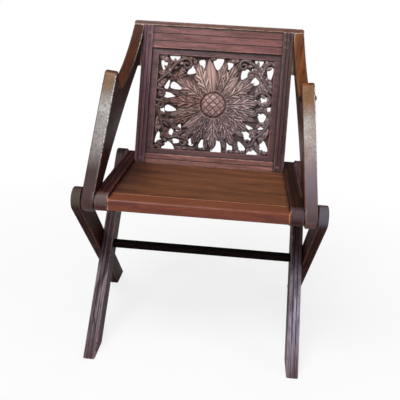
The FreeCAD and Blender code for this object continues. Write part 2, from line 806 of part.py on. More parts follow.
def main():
    os.makedirs("parts", exist_ok=True)
    nodes, shift = centred(chair())
    print("front pivot axis at y =", round(shift.y, 3))
    for name, solid in sorted(nodes.items()):
        solid.exportStep(os.path.join("parts", name + ".step"))
        print(name, len(solid.Solids), round(solid.Volume), solid.isValid())


main()
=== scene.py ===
import math

import bmesh
import bpy
from mathutils import Matrix, Vector


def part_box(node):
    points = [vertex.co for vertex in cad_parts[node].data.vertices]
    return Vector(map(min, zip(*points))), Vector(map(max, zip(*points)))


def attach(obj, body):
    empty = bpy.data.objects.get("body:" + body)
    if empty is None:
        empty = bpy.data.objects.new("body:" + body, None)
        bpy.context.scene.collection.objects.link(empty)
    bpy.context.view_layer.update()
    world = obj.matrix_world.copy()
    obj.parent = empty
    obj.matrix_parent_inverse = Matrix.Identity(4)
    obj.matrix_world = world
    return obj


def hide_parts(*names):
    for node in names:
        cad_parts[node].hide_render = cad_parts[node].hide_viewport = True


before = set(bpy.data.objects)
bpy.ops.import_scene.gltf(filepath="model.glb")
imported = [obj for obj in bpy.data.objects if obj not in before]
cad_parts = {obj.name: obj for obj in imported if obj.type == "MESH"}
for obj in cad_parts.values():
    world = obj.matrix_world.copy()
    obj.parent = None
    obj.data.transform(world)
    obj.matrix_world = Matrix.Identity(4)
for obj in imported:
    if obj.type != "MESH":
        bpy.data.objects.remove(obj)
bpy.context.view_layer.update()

# The old oak chair in metres: +X to the viewer's right, -Y towards the sitter's front, +Z up.
MM = 0.001
BACK_RECLINE = math.radians(18.4)
ARM_RISE = Vector((0.0, 0.73, 0.68))
ACROSS = Vector((1.0, 0.0, 0.0))
ALONG_SEAT = Vector((0.0, 1.0, 0.0))
UP_BACK = Vector((0.0, math.sin(BACK_RECLINE), math.cos(BACK_RECLINE)))
INNER_LEG_RUN = Vector((0.0, -372.0, -436.0)).normalized()
OUTER_LEG_RUN = Vector((0.0, 430.0, -436.0)).normalized()

# Finishes of oak, in display colours: dark pores, body, light streaks, what wear leaves; then the shine.
FINISHES = {
    "frame": ((40, 15, 16), (94, 47, 45), (146, 86, 81), (200, 154, 144), 0.3),
    "stile": ((32, 14, 18), (87, 50, 57), (132, 86, 94), (198, 162, 160), 0.2),
    # The right stile's copy is darker, a painted shade, and browner.
    "stile_brown": ((24, 12, 12), (65, 40, 38), (101, 70, 66), (190, 160, 150), 0.2),
    "low_rail": ((60, 26, 23), (128, 72, 64), (182, 122, 110), (216, 176, 162), 0.3),
    "border": ((30, 13, 14), (76, 41, 42), (114, 70, 70), (176, 134, 126), 0.3),
    "rail": ((16, 6, 3), (40, 18, 11), (66, 32, 20), (170, 128, 112), 0.12),
    "rail_red": ((26, 9, 8), (64, 27, 24), (102, 48, 43), (178, 134, 120), 0.12),
    "leg": ((24, 11, 12), (62, 36, 36), (98, 64, 63), (192, 164, 162), 0.1),
    "outer_leg": ((16, 5, 3), (48, 18, 9), (78, 33, 16), (120, 84, 70), 0.03),
    "cap": ((32, 12, 9), (80, 42, 31), (122, 72, 52), (204, 168, 144), 0.3),
    "arm": ((26, 10, 7), (62, 31, 20), (98, 54, 31), (218, 204, 192), 0.25),
    "arm_gold": ((42, 18, 9), (102, 55, 29), (152, 92, 50), (220, 204, 190), 0.25),
    "seat": ((58, 29, 17), (108, 63, 39), (144, 90, 57), (200, 138, 102), 0.4),
    "nosing": ((48, 16, 6), (98, 40, 20), (139, 64, 36), (236, 164, 120), 0.4),
    "peg": ((26, 14, 11), (60, 34, 26), (92, 58, 44), (150, 118, 102), 0.3),
    "boss": ((10, 7, 8), (22, 16, 17), (34, 26, 27), (60, 48, 50), 0.2),
    # Painted shade: the stretcher is coloured as the shade under the seat.
    "shade": ((5, 2, 2), (13, 7, 6), (26, 14, 12), (56, 36, 31), 0.03),
    "carving": ((20, 10, 9), (116, 73, 62), (182, 133, 120), (234, 202, 192), 0.4),
}
WAX_ROUGHNESS = (0.52, 0.32)
CARVING_ROUGHNESS = (0.85, 0.30)

# Layers of oak's figure: stretch along the grain, then scale, detail and roughness of the noise.
STREAKS = (0.05, 130.0, 5.0, 0.62)
FIBRES = (0.035, 420.0, 3.0, 0.65)
CLOUDS = (0.3, 16.0, 3.0, 0.5)
PORES = (0.06, 900.0, 1.0, 0.5)
LAYER_SHARES = (0.44, 0.26, 0.30)
TONE_LIMITS = (0.36, 0.70)
PORE_LIMITS = (0.60, 0.70)
PORE_DIP = -0.6
PORE_DARKNESS = 0.55
BODY_SHARE = 0.25
GRAIN_DRIFT = (5.0, 2.0)
GRAIN_SWAY = (0.0, 0.05, 0.05)
RING_STRETCH = 0.12
RING_WAVES = {"Distortion": 7.0, "Detail": 3.0, "Detail Scale": 2.2, "Detail Roughness": 0.6}
PLAIN_RINGS = {"Ring Scale": 16.0, "Ring Share": 0.07}
SEAT_RINGS = {"Ring Scale": 11.0, "Ring Share": 0.11}
GRAIN_BUMP = (0.45, 0.0008)
CARVING_BUMP = (0.4, 0.0006)

# Wear, dirt and painted shade: the width of rubbed edges, how far dirt and painted shade creep out of
# corners, and the shares of both; then the painted shadow along seams.
BOARD_WEAR = {"Edge Width": 0.005, "Corner Reach": 0.009}
CARVING_WEAR = {"Edge Width": 0.0016, "Corner Reach": 0.008}
WEAR_SAMPLES = 6
BENT_LIMITS = (0.99, 0.90)
OPEN_LIMITS = (0.55, 0.95)
CLOSE_LIMITS = (0.92, 0.45)
EDGE_WEAR = 0.9
PIN_WEAR = 0.135
RIDGE_WEAR = 0.8
# Shares of dirt and painted shade in the corners of boards and in the carving's cuts.
CORNER_DIRT_AND_SHADE = 0.9
CUT_DIRT_AND_SHADE = 0.65
# Painted shadow along the edges of boards that go in under a neighbour.
SEAM_SHADOW = 0.85
SEAM_SHADOW_CORE = 0.15

# Flecks of noise: scale, detail, roughness, where they begin and are full, and their share at each.
EDGE_NICKS = (70.0, 5.0, 0.7, 0.36, 0.56)
SPECKLE = (380.0, 4.0, 0.7, 0.36, 0.60, 0.35, 0.95)
SPECKLE_STRETCH = 0.35
ARM_PATCHES = (26.0, 3.0, 0.6, 0.35, 0.6, 0.6, 0.95)
ARRIS_DASHES = (330.0, 2.0, 0.5, 0.42, 0.56, 0.0, 0.9)
SPARKLE = (190.0, 3.0, 0.6, 0.54, 0.66)

# How squarely a surface looks in a direction: the cosines where it begins to count and counts in full,
# and the shares that it then has if they aren't 0 and 1.
FACE_LIMITS = (0.80, 0.95)
INNER_LIMITS = (0.80, 0.97, 0.0, 0.8)
OUTER_LIMITS = (0.80, 0.97, 0.0, 0.4)
FRONT_LIMITS = (0.72, 0.92)
ARRIS_LIMITS = (0.90, 0.98)
HEAD_LIMITS = (0.3, 0.8)
END_LIMITS = (0.60, 0.95)
TOP_LIMITS = (0.75, 0.97, 0.0, 0.8)
BEHIND_LIMITS = (0.5, 0.9)

# Marks of age, painted shade and painted sheen, as display colours. A fade is two places in metres and the
# share of the mark at each.
SOOT_AND_SHADE = (12, 6, 5)
# Painted shade on the sides of arms and legs that face across the seat.
UNLIT_SIDE = (46, 20, 19)
WARM_UNLIT_SIDE = (44, 19, 13)
OUTER_SIDE = (84, 47, 37)
PEG_END = (60, 34, 26)
NOSING_TOP = (122, 71, 46)
# Painted shade on the seat towards the left arm.
SEAT_SHADE = (44, 20, 14)
SEAT_SHADE_FADE = (-0.09, -0.21, 0.0, 0.6)
# Painted sheen on round ends that face front and up: the seat rails' ends and the outer legs' heads.
RAIL_END_SHEEN = {"seat_rail_left": (92, 76, 72), "seat_rail_right": (78, 60, 62)}
SHEEN_WAY = Vector((0.0, -0.86, 0.51))
LEG_HEAD_SHEEN = {"outer_leg_left": (80, 72, 65), "outer_leg_right": (98, 93, 102)}
LEG_HEAD_SHEEN_FADE = (0.36, 0.41, 0.0, 0.8)
# Painted lilac-grey sheen on the legs below their middle.
LEG_SHEEN = {"inner_leg_left": (148, 137, 146), "inner_leg_right": (188, 179, 198)}
LEG_SHEEN_FADE = (0.27, 0.14, 0.06, 0.85)
LEG_SHEEN_GRAIN = (0.25, 0.75, 0.2, 1.0)
LEG_FOOT_FADE = (0.0, 0.12, 0.15, 1.0)
# Painted shade on the legs' upper part, mostly on the left leg.
LEG_SHADE = (26, 25, 23)
LEG_SHADE_HEIGHTS = (0.24, 0.36)
LEG_SHADE_SHARE = {"inner_leg_left": 0.7, "inner_leg_right": 0.1}

# Arms: where their fronts face, the heights between which hands have silvered them, and other marks,
# painted sheen, highlight and shade among them.
ARM_FRONT = Vector((0.0, -0.93, 0.36))
ARM_ARRIS = (0.72 * ACROSS + 0.69 * ARM_FRONT).normalized()
ARM_RUB = {"arm_left": (0.51, 0.60, 0.65, 0.705), "arm_right": (0.53, 0.62, 0.645, 0.695)}
SILVERED = (182, 181, 177)
# Painted highlight in dashes along the arms' inner arris.
GLEAM = (238, 236, 232)
GLEAM_LEAD = 0.03
GLEAM_SHARES = (0.1, 1.0)
OLIVE = (142, 106, 68)
OLIVE_GRAIN = (62, 37, 22)
ELBOW_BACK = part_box("elbow_peg_left")[1].y
ELBOW_FADE = (ELBOW_BACK + 0.012, ELBOW_BACK, 0.0, 0.6)
# Low fronts of the arms: the left one's own dark plum, the right one's painted lilac-grey sheen.
PLUM_AND_SHEEN = {"arm_left": (54, 38, 38), "arm_right": (112, 101, 112)}
PLUM_SHARE = 0.8
# The knuckle's dark plum-brown, partly its own colour and partly painted shade.
KNUCKLE_TONE_AND_SHADE = (66, 45, 43)
KNUCKLE_FADE = (0.44, 0.42, 0.0, 0.8)
KNUCKLE_FRONT_FADE = (0.52, 0.45, 0.0, 0.75)

# Scratched lines: the way that they are spaced, how many, the faces that carry them and how dark they are.
BACK_FRONT = Vector((0.0, -math.cos(BACK_RECLINE), math.sin(BACK_RECLINE)))
SEAT_UP = Vector((0.0, 0.0, 1.0))
INNER_LEG_EDGE = INNER_LEG_RUN.cross(ACROSS)
OUTER_LEG_EDGE = OUTER_LEG_RUN.cross(ACROSS)
SCRATCHES = {
    "back_top_rail": (UP_BACK, 2, (BACK_FRONT,), 0.85),
    "back_bottom_rail": (UP_BACK, 1, (BACK_FRONT,), 0.6),
    "back_stile": (ACROSS, 2, (BACK_FRONT,), 0.55),
    "seat_rail": (ACROSS, 2, (SEAT_UP,), 0.5),
    "inner_leg": (ACROSS, 2, (INNER_LEG_EDGE, -INNER_LEG_EDGE), 0.6),
    "outer_leg": (ACROSS, 2, (OUTER_LEG_EDGE, -OUTER_LEG_EDGE), 0.5),
}
SCRATCH_CORE = 0.0006
SCRATCH_FADE = 0.0019
LIP_FADE = 0.0060

# Carved panel, drawn flat in millimetres: x across, y up the slope of the back, z out to the sitter.
PANEL_LOW, PANEL_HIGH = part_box("carved_panel")
PANEL_CENTRE = (PANEL_LOW + PANEL_HIGH) / 2
PANEL_TURN = Matrix.Rotation(math.pi / 2 - BACK_RECLINE, 4, "X")
PANEL_PLACE = Matrix.Translation(PANEL_CENTRE) @ PANEL_TURN @ Matrix.Scale(MM, 4)
PANEL_OUT = PANEL_TURN.to_3x3() @ Vector((0.0, 0.0, 1.0))
PANEL_HALF_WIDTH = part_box("back_stile_right")[0].x / MM
PANEL_HALF_HEIGHT = 152.5
PANEL_FACE = 8.0
FIELD_SIDE = PANEL_HALF_WIDTH - 20.0
FIELD_TOP = PANEL_HALF_HEIGHT - 18.0
FIELD_BOTTOM = 17.0 - PANEL_HALF_HEIGHT
BORDER_BEVEL = 1.6
CARVING_BACK = -5.0
FLOWER_CENTRE = Vector((0.0, -0.5))

# Looks of the carving: painted lilac sheen at its lower right, painted light at its upper right and painted
# shade towards its lower left, painted glints, dirt and painted shade in its furrows, and painted shade on
# its low parts.
# Heights over which the carving goes from painted shade low down to its full colour.
CARVING_RELIEF = (-5.0 * MM, 9.0 * MM)
# Painted lilac sheen towards the lower right.
LILAC_SHEEN = (142, 122, 130)
LILAC_WAY = (0.8 * ACROSS - 0.6 * UP_BACK).normalized()
LILAC_FADE = (-0.05, 0.10, 0.0, 0.55)
# Painted light towards the upper right and painted shade towards the lower left.
BRIGHT_WAY = (ACROSS + UP_BACK).normalized()
PAINTED_LIGHT_FADE = (0.0, 0.10, 0.0, 0.30)
PAINTED_SHADE_FADE = (0.01, -0.10, 0.0, 0.28)
# Painted glints.
GLINT = (222, 208, 212)
GLINT_FADE = (0.0, 0.4, 0.2, 0.9)
# Painted warm bounce light in the seed head's moat.
WARM_BOUNCE_LIGHT = (122, 62, 32)
# Darkness of the furrows: dirt and painted shade.
FURROW_DIRT_AND_SHADE = 0.92
DARK_TINT = (0.0, -0.5, 0.0, 0.45)
PALE_TINT = (0.0, 0.5, 0.0, 0.55)
TINT_FIRST = 0.7
TINT_STEP = 0.38
# Painted highlight on the tendrils' crowns.
TENDRIL_CROWN_HIGHLIGHT = 0.5
HEAD_TINT = -0.2
# Painted highlight on the lower half of the seed head's collar.
COLLAR_HIGHLIGHT = 0.5

# Seed head: radius and height of each turn of its profile, from its crown to its collar's foot.
HEAD_PROFILE = ((0, 12.6), (10, 12.3), (19, 11.4), (26, 10.0), (31, 8.2), (34, 5.6), (35.6, 1.0), (38, 0.6),
                (39, 3.8), (40.4, 5.4), (42, 5.0), (43.6, 1.5), (44, CARVING_BACK + 0.2))
HEAD_HATCHED = 33.0
HEAD_HATCH_GAP = 15.0
HEAD_HATCH_WIDTH = 1.7
HEAD_HATCH_DEPTH = 2.0
# The seed head's moat, where the painted warm bounce light lies, and its share.
HEAD_RING = (33.5, 38.5)
HEAD_RING_SHARE = 0.75
HEAD_AROUND = 160
HEAD_STEP = 0.8
HEAD_STEPS = 40

# Openings right through: middle across and up, width, length and the bearing of the narrow end.
OPENINGS = (
    (-120, 128, 31, 17, -90), (-150, 108, 20, 28, -90), (-69, 95, 23, 25, 215), (-39, 113, 18, 26, -80),
    (6, 121, 32, 32, -90), (40, 115, 18, 18, -100), (85, 94, 26, 28, -120), (110, 73, 23, 30, 200),
    (124, 127, 25, 18, -90), (157, 99, 19, 34, -90), (111, 107, 10, 11, 0), (112, 18, 18, 20, 190),
    (145, 20, 19, 21, -90), (133, -5, 13, 14, 180), (159, -3, 15, 15, 180), (143, -29, 25, 25, -90),
    (141, -55, 17, 17, -150), (106, -57, 10, 24, 150), (102, -81, 25, 30, 140), (152, -109, 25, 33, 100),
    (122, -128, 32, 18, 90), (88, -114, 19, 26, 120), (54, -113, 19, 27, 100), (19, -120, 30, 36, 80),
    (-24, -112, 18, 26, 80), (-55, -107, 21, 24, 60), (-98, -111, 14, 26, 0), (-124, -126, 38, 21, 90),
    (-154, -104, 18, 30, 90), (-118, -85, 17, 27, 60), (-95, -72, 14, 24, 80), (-124, -18, 19, 28, -10),
    (-146, -24, 12, 15, -60), (-131, 21, 18, 36, 0), (-111, 47, 20, 29, -20), (-137, 52, 12, 23, 70))
OPENING_OUTLINE = ((-0.52, -0.55), (-0.62, 0.0), (-0.52, 0.55), (0.05, 0.42), (0.62, 0.10), (0.62, -0.10),
                   (0.05, -0.42))
OPENING_STEPS = 5
OPENING_ORDER = 3
WELD = 1e-3
GROUND_TOP = -2.6
GROUND_LAP = 4.0
BACK_COVER = 0.4

# Kinds of leaf: lobes, depth of the notches, how far lobes sweep forward, steps along and to each side.
LEAF_KINDS = {
    "feathered_leaf": (4, 0.42, 1.7, 64, 11),
    "smooth_leaf": (0, 0.0, 1.5, 50, 9),
    "curled_leaf": (3, 0.38, 0.9, 42, 9),
    "bud_leaf": (0, 0.0, 1.5, 12, 4),
}
LEAF_BELLY = 0.5
LEAF_WAIST = 0.40
LEAF_TAPER = 1.9
LEAF_TOOTH = 1.3
LEAF_TIP = 0.02
LEAF_MIDRIB = 0.09
MIDRIB_FADE = 0.5
SMOOTH_MIDRIB = 0.6
LOBE_FULLNESS = 0.55
LOBE_RISE = 3.0
LEAF_ARCH = 0.60
ARCH_START = 0.10
ARCH_RUN = 0.80
LEAF_ROUND = 0.45
LEAF_CUT = 0.55

# Levels of leaves: cover behind the first, step from each to the next, top, and drop of every second one.
FEATHERED_LEVELS = (BACK_COVER, 0.05, PANEL_FACE + 3.0, 5.0)
SMOOTH_LEVELS = (BACK_COVER, 0.05, PANEL_FACE + 0.5, 1.5)
LEAF_LEVELS = (0.5, 0.04, PANEL_FACE + 0.8, 1.6)
BUD_LEVELS = (BACK_COVER, 0.01, 7.4, 0.0)

# Petals: bearing in degrees, reach from the flower's centre, half width and how far the tip sways sideways.
PETAL_ROOT = 36.0
FEATHERED_PETALS = (
    (4, 134, 22, 5), (16, 137, 16, -5), (29, 134, 22, 6), (41, 141, 16, -8), (60, 133, 25, 7),
    (79, 131, 21, -6), (117, 129, 25, -6), (137, 122, 17, 7), (150, 135, 22, -6), (164, 133, 17, 5),
    (179, 133, 22, -4), (195, 133, 17, 5), (209, 133, 22, -5), (230, 128, 19, 8), (248, 131, 23, -6),
    (262, 136, 16, 5), (274, 132, 22, -4), (288, 138, 16, 5), (302, 134, 22, -6), (315, 132, 16, 6),
    (329, 126, 22, -6), (341, 135, 15, 5), (353, 136, 20, -4))
SMOOTH_PETALS = ((97, 134, 16, 4), (107, 118, 12, -6), (50, 112, 12, 4), (222, 112, 12, -4))

# Leaves among the scrolls: root across and up, bearing, length, half width and sway.
CORNER_LEAVES = (
    (-126, 78, 166, 42, 13, 4), (-152, 60, 98, 34, 11, 4), (-128, 68, 22, 48, 14, -5),
    (-101, 78, 72, 32, 11, -4), (-56, 98, 96, 34, 10, 4), (-102, 131, -4, 44, 8, 0),
    (-164, 130, -14, 34, 10, -4), (-132, 92, 84, 34, 9, 5), (74, 131, 184, 42, 8, 0),
    (137, 48, 88, 66, 13, 6), (161, 54, 96, 32, 11, 3), (129, 36, 58, 38, 14, -6),
    (97, 74, 74, 32, 10, -4), (166, 131, 192, 34, 10, 4), (131, 84, 70, 38, 11, 5),
    (66, 104, 84, 30, 10, -4), (161, -50, -98, 44, 14, -5), (136, -62, -140, 34, 11, 4),
    (127, -96, -72, 36, 10, 5), (104, -131, 180, 42, 8, 0), (164, -131, 168, 30, 9, 0),
    (113, -62, -64, 34, 12, -5), (70, -100, -84, 34, 10, 4), (124, -6, -10, 30, 10, 0),
    (-158, -50, -86, 42, 12, -4), (-142, -48, -32, 46, 14, 5), (-72, -94, -88, 36, 11, -4),
    (-102, -131, 2, 44, 8, 0), (-164, -130, 10, 34, 9, 3), (-134, -82, -74, 36, 11, 5),
    (-164, -2, 6, 46, 12, 3), (-165, -18, -62, 38, 11, 4), (-165, 36, 58, 40, 11, -4),
    (-40, -132, 182, 34, 7, 0), (38, -132, 0, 36, 7, 0), (-9, -131, 178, 26, 7, 0),
    (-20, 131, 2, 22, 6, 0), (-84, -82, -150, 30, 11, 3), (120, 52, 20, 34, 11, 4),
    (150, -70, -110, 34, 12, 4))

# Tendrils: points that each one follows, then the eye that it coils round and its turns, or nothing.
TENDRILS = (
    (((-165, 56), (-150, 72), (-134, 86), (-123, 102), (-111, 116), (-96, 125)), (-84, 110), -1.35),
    (((165, 44), (148, 66), (135, 87), (127, 104), (114, 119), (97, 127)), (81, 116), 1.35),
    (((-134, 84), (-135, 102), (-138, 118), (-152, 131)), None, 0),
    (((132, 82), (125, 95), (113, 99)), (105, 90), 1.2),
    (((135, 92), (140, 110), (149, 123), (165, 131)), None, 0),
    (((118, 30), (129, 41), (147, 42), (161, 32), (163, 16), (152, 5), (136, 6)), None, 0),
    (((126, -12), (145, -9), (161, -17), (165, -34), (152, -47), (133, -45)), None, 0),
    (((165, -40), (157, -57), (146, -74), (129, -88), (122, -104), (130, -121), (150, -132)), None, 0),
    (((124, -95), (119, -108), (109, -113)), (107, -103), -1.2),
    (((-165, -10), (-155, -34), (-149, -56), (-141, -76), (-136, -94), (-142, -114), (-158, -131)),
     None, 0),
    (((-138, -90), (-128, -103), (-114, -102), (-100, -98), (-85, -101)), (-81, -114), -1.3),
    (((-147, -52), (-132, -55), (-116, -62), (-107, -75)), None, 0),
    (((-166, 40), (-158, 36)), (-154, 24), -1.3),
    (((-166, 4), (-156, 2)), (-153, -9), -1.3),
)
TENDRIL_WIDTH = (4.5, 3.0)
TENDRIL_HEIGHT = 1.65
TENDRIL_STEP = 1.6
TENDRIL_SECTION = (
    (-1.0, -1.45, 0.8), (1.0, -1.45, 0.8), (1.05, 0.1, 0.4), (0.86, 0.62, 0.0), (0.56, 0.78, 0.0),
    (0.36, 0.42, 0.55), (0.16, 0.86, 0.0), (-0.16, 0.86, 0.0), (-0.36, 0.42, 0.55), (-0.56, 0.78, 0.0),
    (-0.86, 0.62, 0.0), (-1.05, 0.1, 0.4))
BUD_SPACING = 12.5
BUD_LEAN = 34
BUD_SIZE = (22.0, 5.6)
BUD_SWAY = 0.1
COIL_END_RADIUS = 4.2
COIL_STEP = math.radians(24)

# Camera that took the chair, worked out from its joints in the picture.
CAMERA_PLACE = Vector((0.0898, -1.507, 0.9274))
CAMERA_YAW = -0.068
CAMERA_PITCH = 0.3495
CAMERA_ROLL = 0.0545
CAMERA_LENS = 51.67

# Studio: the floor, how white the camera sees it near and far, and the light from all round.
FLOOR_HALF = 6.0
FLOOR_GREY = (0.86, 0.86, 0.86, 1.0)
FLOOR_ROUGHNESS = 0.9
FLOOR_WHITE = (0.35, 1.5, 0.80, 1.0)
WHITE = (1.0, 1.0, 1.0, 1.0)
SKY = (0.93, 0.95, 1.0, 1.0)
SKY_STRENGTH = 0.10

# Lamps: place, height that they are turned to, size, watts, colour and whether wax mirrors them.
LAMPS = {
    "front_window": ((-0.15, -2.9, 1.6), 0.55, (3.0, 2.4), 34, (0.96, 0.98, 1.0), True),
    "window": ((-0.6, -1.3, 2.5), 0.5, (1.4, 1.0), 56, (0.97, 0.98, 1.0), True),
    "right_fill": ((2.2, -0.4, 1.3), 0.5, (0.9, 1.4), 12, (0.93, 0.95, 1.0), True),
    "back_fill": ((0.5, 2.5, 0.6), 0.5, (1.8, 0.9), 34, (1.0, 0.97, 0.94), False),
}


def display_colour(rgb):
    """Display values from 0 to 255 as the linear colour that the shaders take."""
    linear = []
    for value in rgb:
        share = value / 255
        linear.append(share / 12.92 if share <= 0.04045 else ((share + 0.055) / 1.055) ** 2.4)
    return (*linear, 1.0)


class Tree:
    """A node tree with short calls for adding and joining nodes."""

    def __init__(self, tree):
        self.tree = tree

    def add(self, kind, inputs=None, **settings):
        node = self.tree.nodes.new(kind)
        for key, value in settings.items():
            setattr(node, key, value)
        for key, value in (inputs or {}).items():
            self.put(node.inputs[key], value)
        return node

    def put(self, socket, value):
        if isinstance(value, bpy.types.NodeSocket):
            self.tree.links.new(value, socket)
        else:
            socket.default_value = value

    def math(self, operation, a, b=0.0, clamp=False):
        node = self.add("ShaderNodeMath", {0: a, 1: b}, operation=operation, use_clamp=clamp)
        return node.outputs[0]

    def times(self, first, *others, clamp=False):
        for other in others:
            first = self.math("MULTIPLY", first, other, clamp)
        return first

    def vector(self, operation, a, b=(0.0, 0.0, 0.0)):
        node = self.add("ShaderNodeVectorMath", {0: a, 1: b}, operation=operation)
        return node.outputs["Value" if operation in ("DOT_PRODUCT", "LENGTH") else "Vector"]

    def place(self):
        return self.add("ShaderNodeTexCoord").outputs["Object"]

    def reach(self, direction):
        """How far along a direction each point of the object lies."""
        return self.vector("DOT_PRODUCT", self.place(), direction)

    def value(self, name):
        """A value kept on the points of the mesh."""
        return self.add("ShaderNodeAttribute", attribute_name=name).outputs["Fac"]

    def remap(self, value, low, high, out_low=0.0, out_high=1.0):
        node = self.add("ShaderNodeMapRange", {
            "Value": value, "From Min": low, "From Max": high, "To Min": out_low, "To Max": out_high})
        return node.outputs["Result"]

    def stretched(self, vector, stretch):
        """Coordinates drawn out along the grain."""
        return self.add("ShaderNodeMapping", {"Vector": vector, "Scale": (stretch, 1.0, 1.0)}).outputs[0]

    def noise(self, vector, scale, detail, roughness):
        node = self.add("ShaderNodeTexNoise", {
            "Vector": vector, "Scale": scale, "Detail": detail, "Roughness": roughness})
        return node.outputs["Fac"]

    def flecks(self, vector, scale, detail, roughness, *limits):
        return self.remap(self.noise(vector, scale, detail, roughness), *limits)

    def mix(self, factor, a, b):
        node = self.add("ShaderNodeMix", {"Factor": factor, "A": a, "B": b}, data_type="RGBA")
        return node.outputs["Result"]

    def tint(self, factor, colour, shade):
        """A colour that goes over to a display colour."""
        return self.mix(factor, colour, display_colour(shade))

    def group(self, group, vector, values):
        """What a shader group gives for a vector and its other values."""
        return self.add("ShaderNodeGroup", {"Vector": vector, **values}, node_tree=group).outputs

    def end(self, output, share, first, second):
        """The tree's last two shaders, blended."""
        blend = self.add("ShaderNodeMixShader", {0: share, 1: first.outputs[0], 2: second.outputs[0]})
        self.put(self.tree.nodes[output].inputs["Surface"], blend.outputs[0])


def node_tree(kind, name, inputs, outputs):
    """An empty tree with named sockets, what it is given and what it results in."""
    group = bpy.data.node_groups.new(name, kind)
    for way, sockets in (("INPUT", inputs), ("OUTPUT", outputs)):
        for label, socket in sockets.items():
            group.interface.new_socket(label, in_out=way, socket_type="NodeSocket" + socket)
    tree = Tree(group)
    return tree, tree.add("NodeGroupInput").outputs, tree.add("NodeGroupOutput").inputs


def oak_figure_group():
    """Streaks, fibres, faint rings and open pores of oak, with the grain along the vector's x."""
    tree, given, result = node_tree(
        "ShaderNodeTree", "oak_figure", {"Vector": "Vector", "Ring Scale": "Float", "Ring Share": "Float"},
        {"Tone": "Float", "Pores": "Float", "Height": "Float"})
    scale, detail = GRAIN_DRIFT
    drift = tree.add("ShaderNodeTexNoise", {"Vector": given["Vector"], "Scale": scale, "Detail": detail})
    bend = tree.vector("SUBTRACT", drift.outputs["Color"], (0.5, 0.5, 0.5))
    wandered = tree.vector("ADD", given["Vector"], tree.vector("MULTIPLY", bend, GRAIN_SWAY))

    def layer(stretch, *noise):
        return tree.noise(tree.stretched(wandered, stretch), *noise)

    fibres = layer(*FIBRES)
    pores = tree.remap(layer(*PORES), *PORE_LIMITS)
    waves = {"Vector": tree.stretched(wandered, RING_STRETCH), "Scale": given["Ring Scale"], **RING_WAVES}
    rings = tree.add("ShaderNodeTexWave", waves, wave_type="BANDS", bands_direction="DIAGONAL")
    tone = tree.times(rings.outputs["Fac"], given["Ring Share"])
    for part, share in zip((layer(*STREAKS), fibres, layer(*CLOUDS)), LAYER_SHARES):
        tone = tree.math("ADD", tone, tree.times(part, share))
    tree.put(result["Tone"], tree.remap(tone, *TONE_LIMITS))
    tree.put(result["Pores"], pores)
    tree.put(result["Height"], tree.math("ADD", fibres, tree.times(pores, PORE_DIP)))
    return tree.tree


def wear_dirt_and_shade_group():
    """Masks for edges rubbed bare by hands and for darkening in corners, which is dirt kept there and
    painted shade.
    """
    tree, given, result = node_tree(
        "ShaderNodeTree", "hand_wear", {"Vector": "Vector", "Edge Width": "Float", "Corner Reach": "Float"},
        {"Worn": "Float", "Dirt": "Float"})
    round_edge = tree.add("ShaderNodeBevel", {"Radius": given["Edge Width"]}, samples=WEAR_SAMPLES)
    flat = tree.add("ShaderNodeNewGeometry").outputs["Normal"]
    bent = tree.remap(tree.vector("DOT_PRODUCT", round_edge.outputs[0], flat), *BENT_LIMITS)
    reach = {"Distance": given["Corner Reach"]}
    corner = tree.add("ShaderNodeAmbientOcclusion", reach, samples=WEAR_SAMPLES).outputs["AO"]
    open_sky = tree.remap(corner, *OPEN_LIMITS)
    tree.put(result["Worn"], tree.times(bent, open_sky, tree.flecks(given["Vector"], *EDGE_NICKS)))
    tree.put(result["Dirt"], tree.remap(corner, *CLOSE_LIMITS))
    return tree.tree


OAK_FIGURE = oak_figure_group()
WEAR_DIRT_AND_SHADE = wear_dirt_and_shade_group()


def grain_vector(tree, grain, offset):
    """Object coordinates turned so that x runs with the grain, moved so that boards differ."""
    turn = grain.rotation_difference(ACROSS).to_euler()
    moved = tree.add("ShaderNodeMapping", {"Vector": tree.place(), "Rotation": turn, "Location": offset})
    return moved.outputs[0]


def facing(tree, direction, limits):
    """How squarely a surface looks in one direction."""
    normal = tree.add("ShaderNodeTexCoord").outputs["Normal"]
    return tree.remap(tree.vector("DOT_PRODUCT", normal, direction), *limits)


def scratch_marks(tree, name, direction, count, faces, darkness):
    """Masks for the darkening in a board's scratched lines and for their lips, which hands don't reach."""
    spread = [vertex.co.dot(direction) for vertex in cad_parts[name].data.vertices]
    spacing = (max(spread) - min(spread)) / (count + 1)
    share = tree.math("DIVIDE", tree.math("SUBTRACT", tree.reach(direction), min(spread)), spacing)
    off = tree.times(tree.math("PINGPONG", share, 0.5), spacing)
    on_face = 0.0
    for face in faces:
        on_face = tree.math("ADD", facing(tree, face, FACE_LIMITS), on_face)
    past_edge = tree.math("GREATER_THAN", share, 0.5)
    before_edge = tree.math("LESS_THAN", share, count + 0.5)
    there = tree.times(past_edge, before_edge, on_face)
    line_darkening = tree.times(tree.remap(off, SCRATCH_FADE, SCRATCH_CORE, 0.0, darkness), there)
    lip = tree.times(tree.remap(off, LIP_FADE, SCRATCH_FADE), there)
    return line_darkening, tree.math("SUBTRACT", 1.0, lip)


def seam_shadow(tree, direction, edge, width):
    """Mask for a painted shadow that darkens towards an edge where a board goes in under its neighbour."""
    return tree.remap(tree.reach(direction), edge - width, edge - SEAM_SHADOW_CORE * width, 0.0, SEAM_SHADOW)


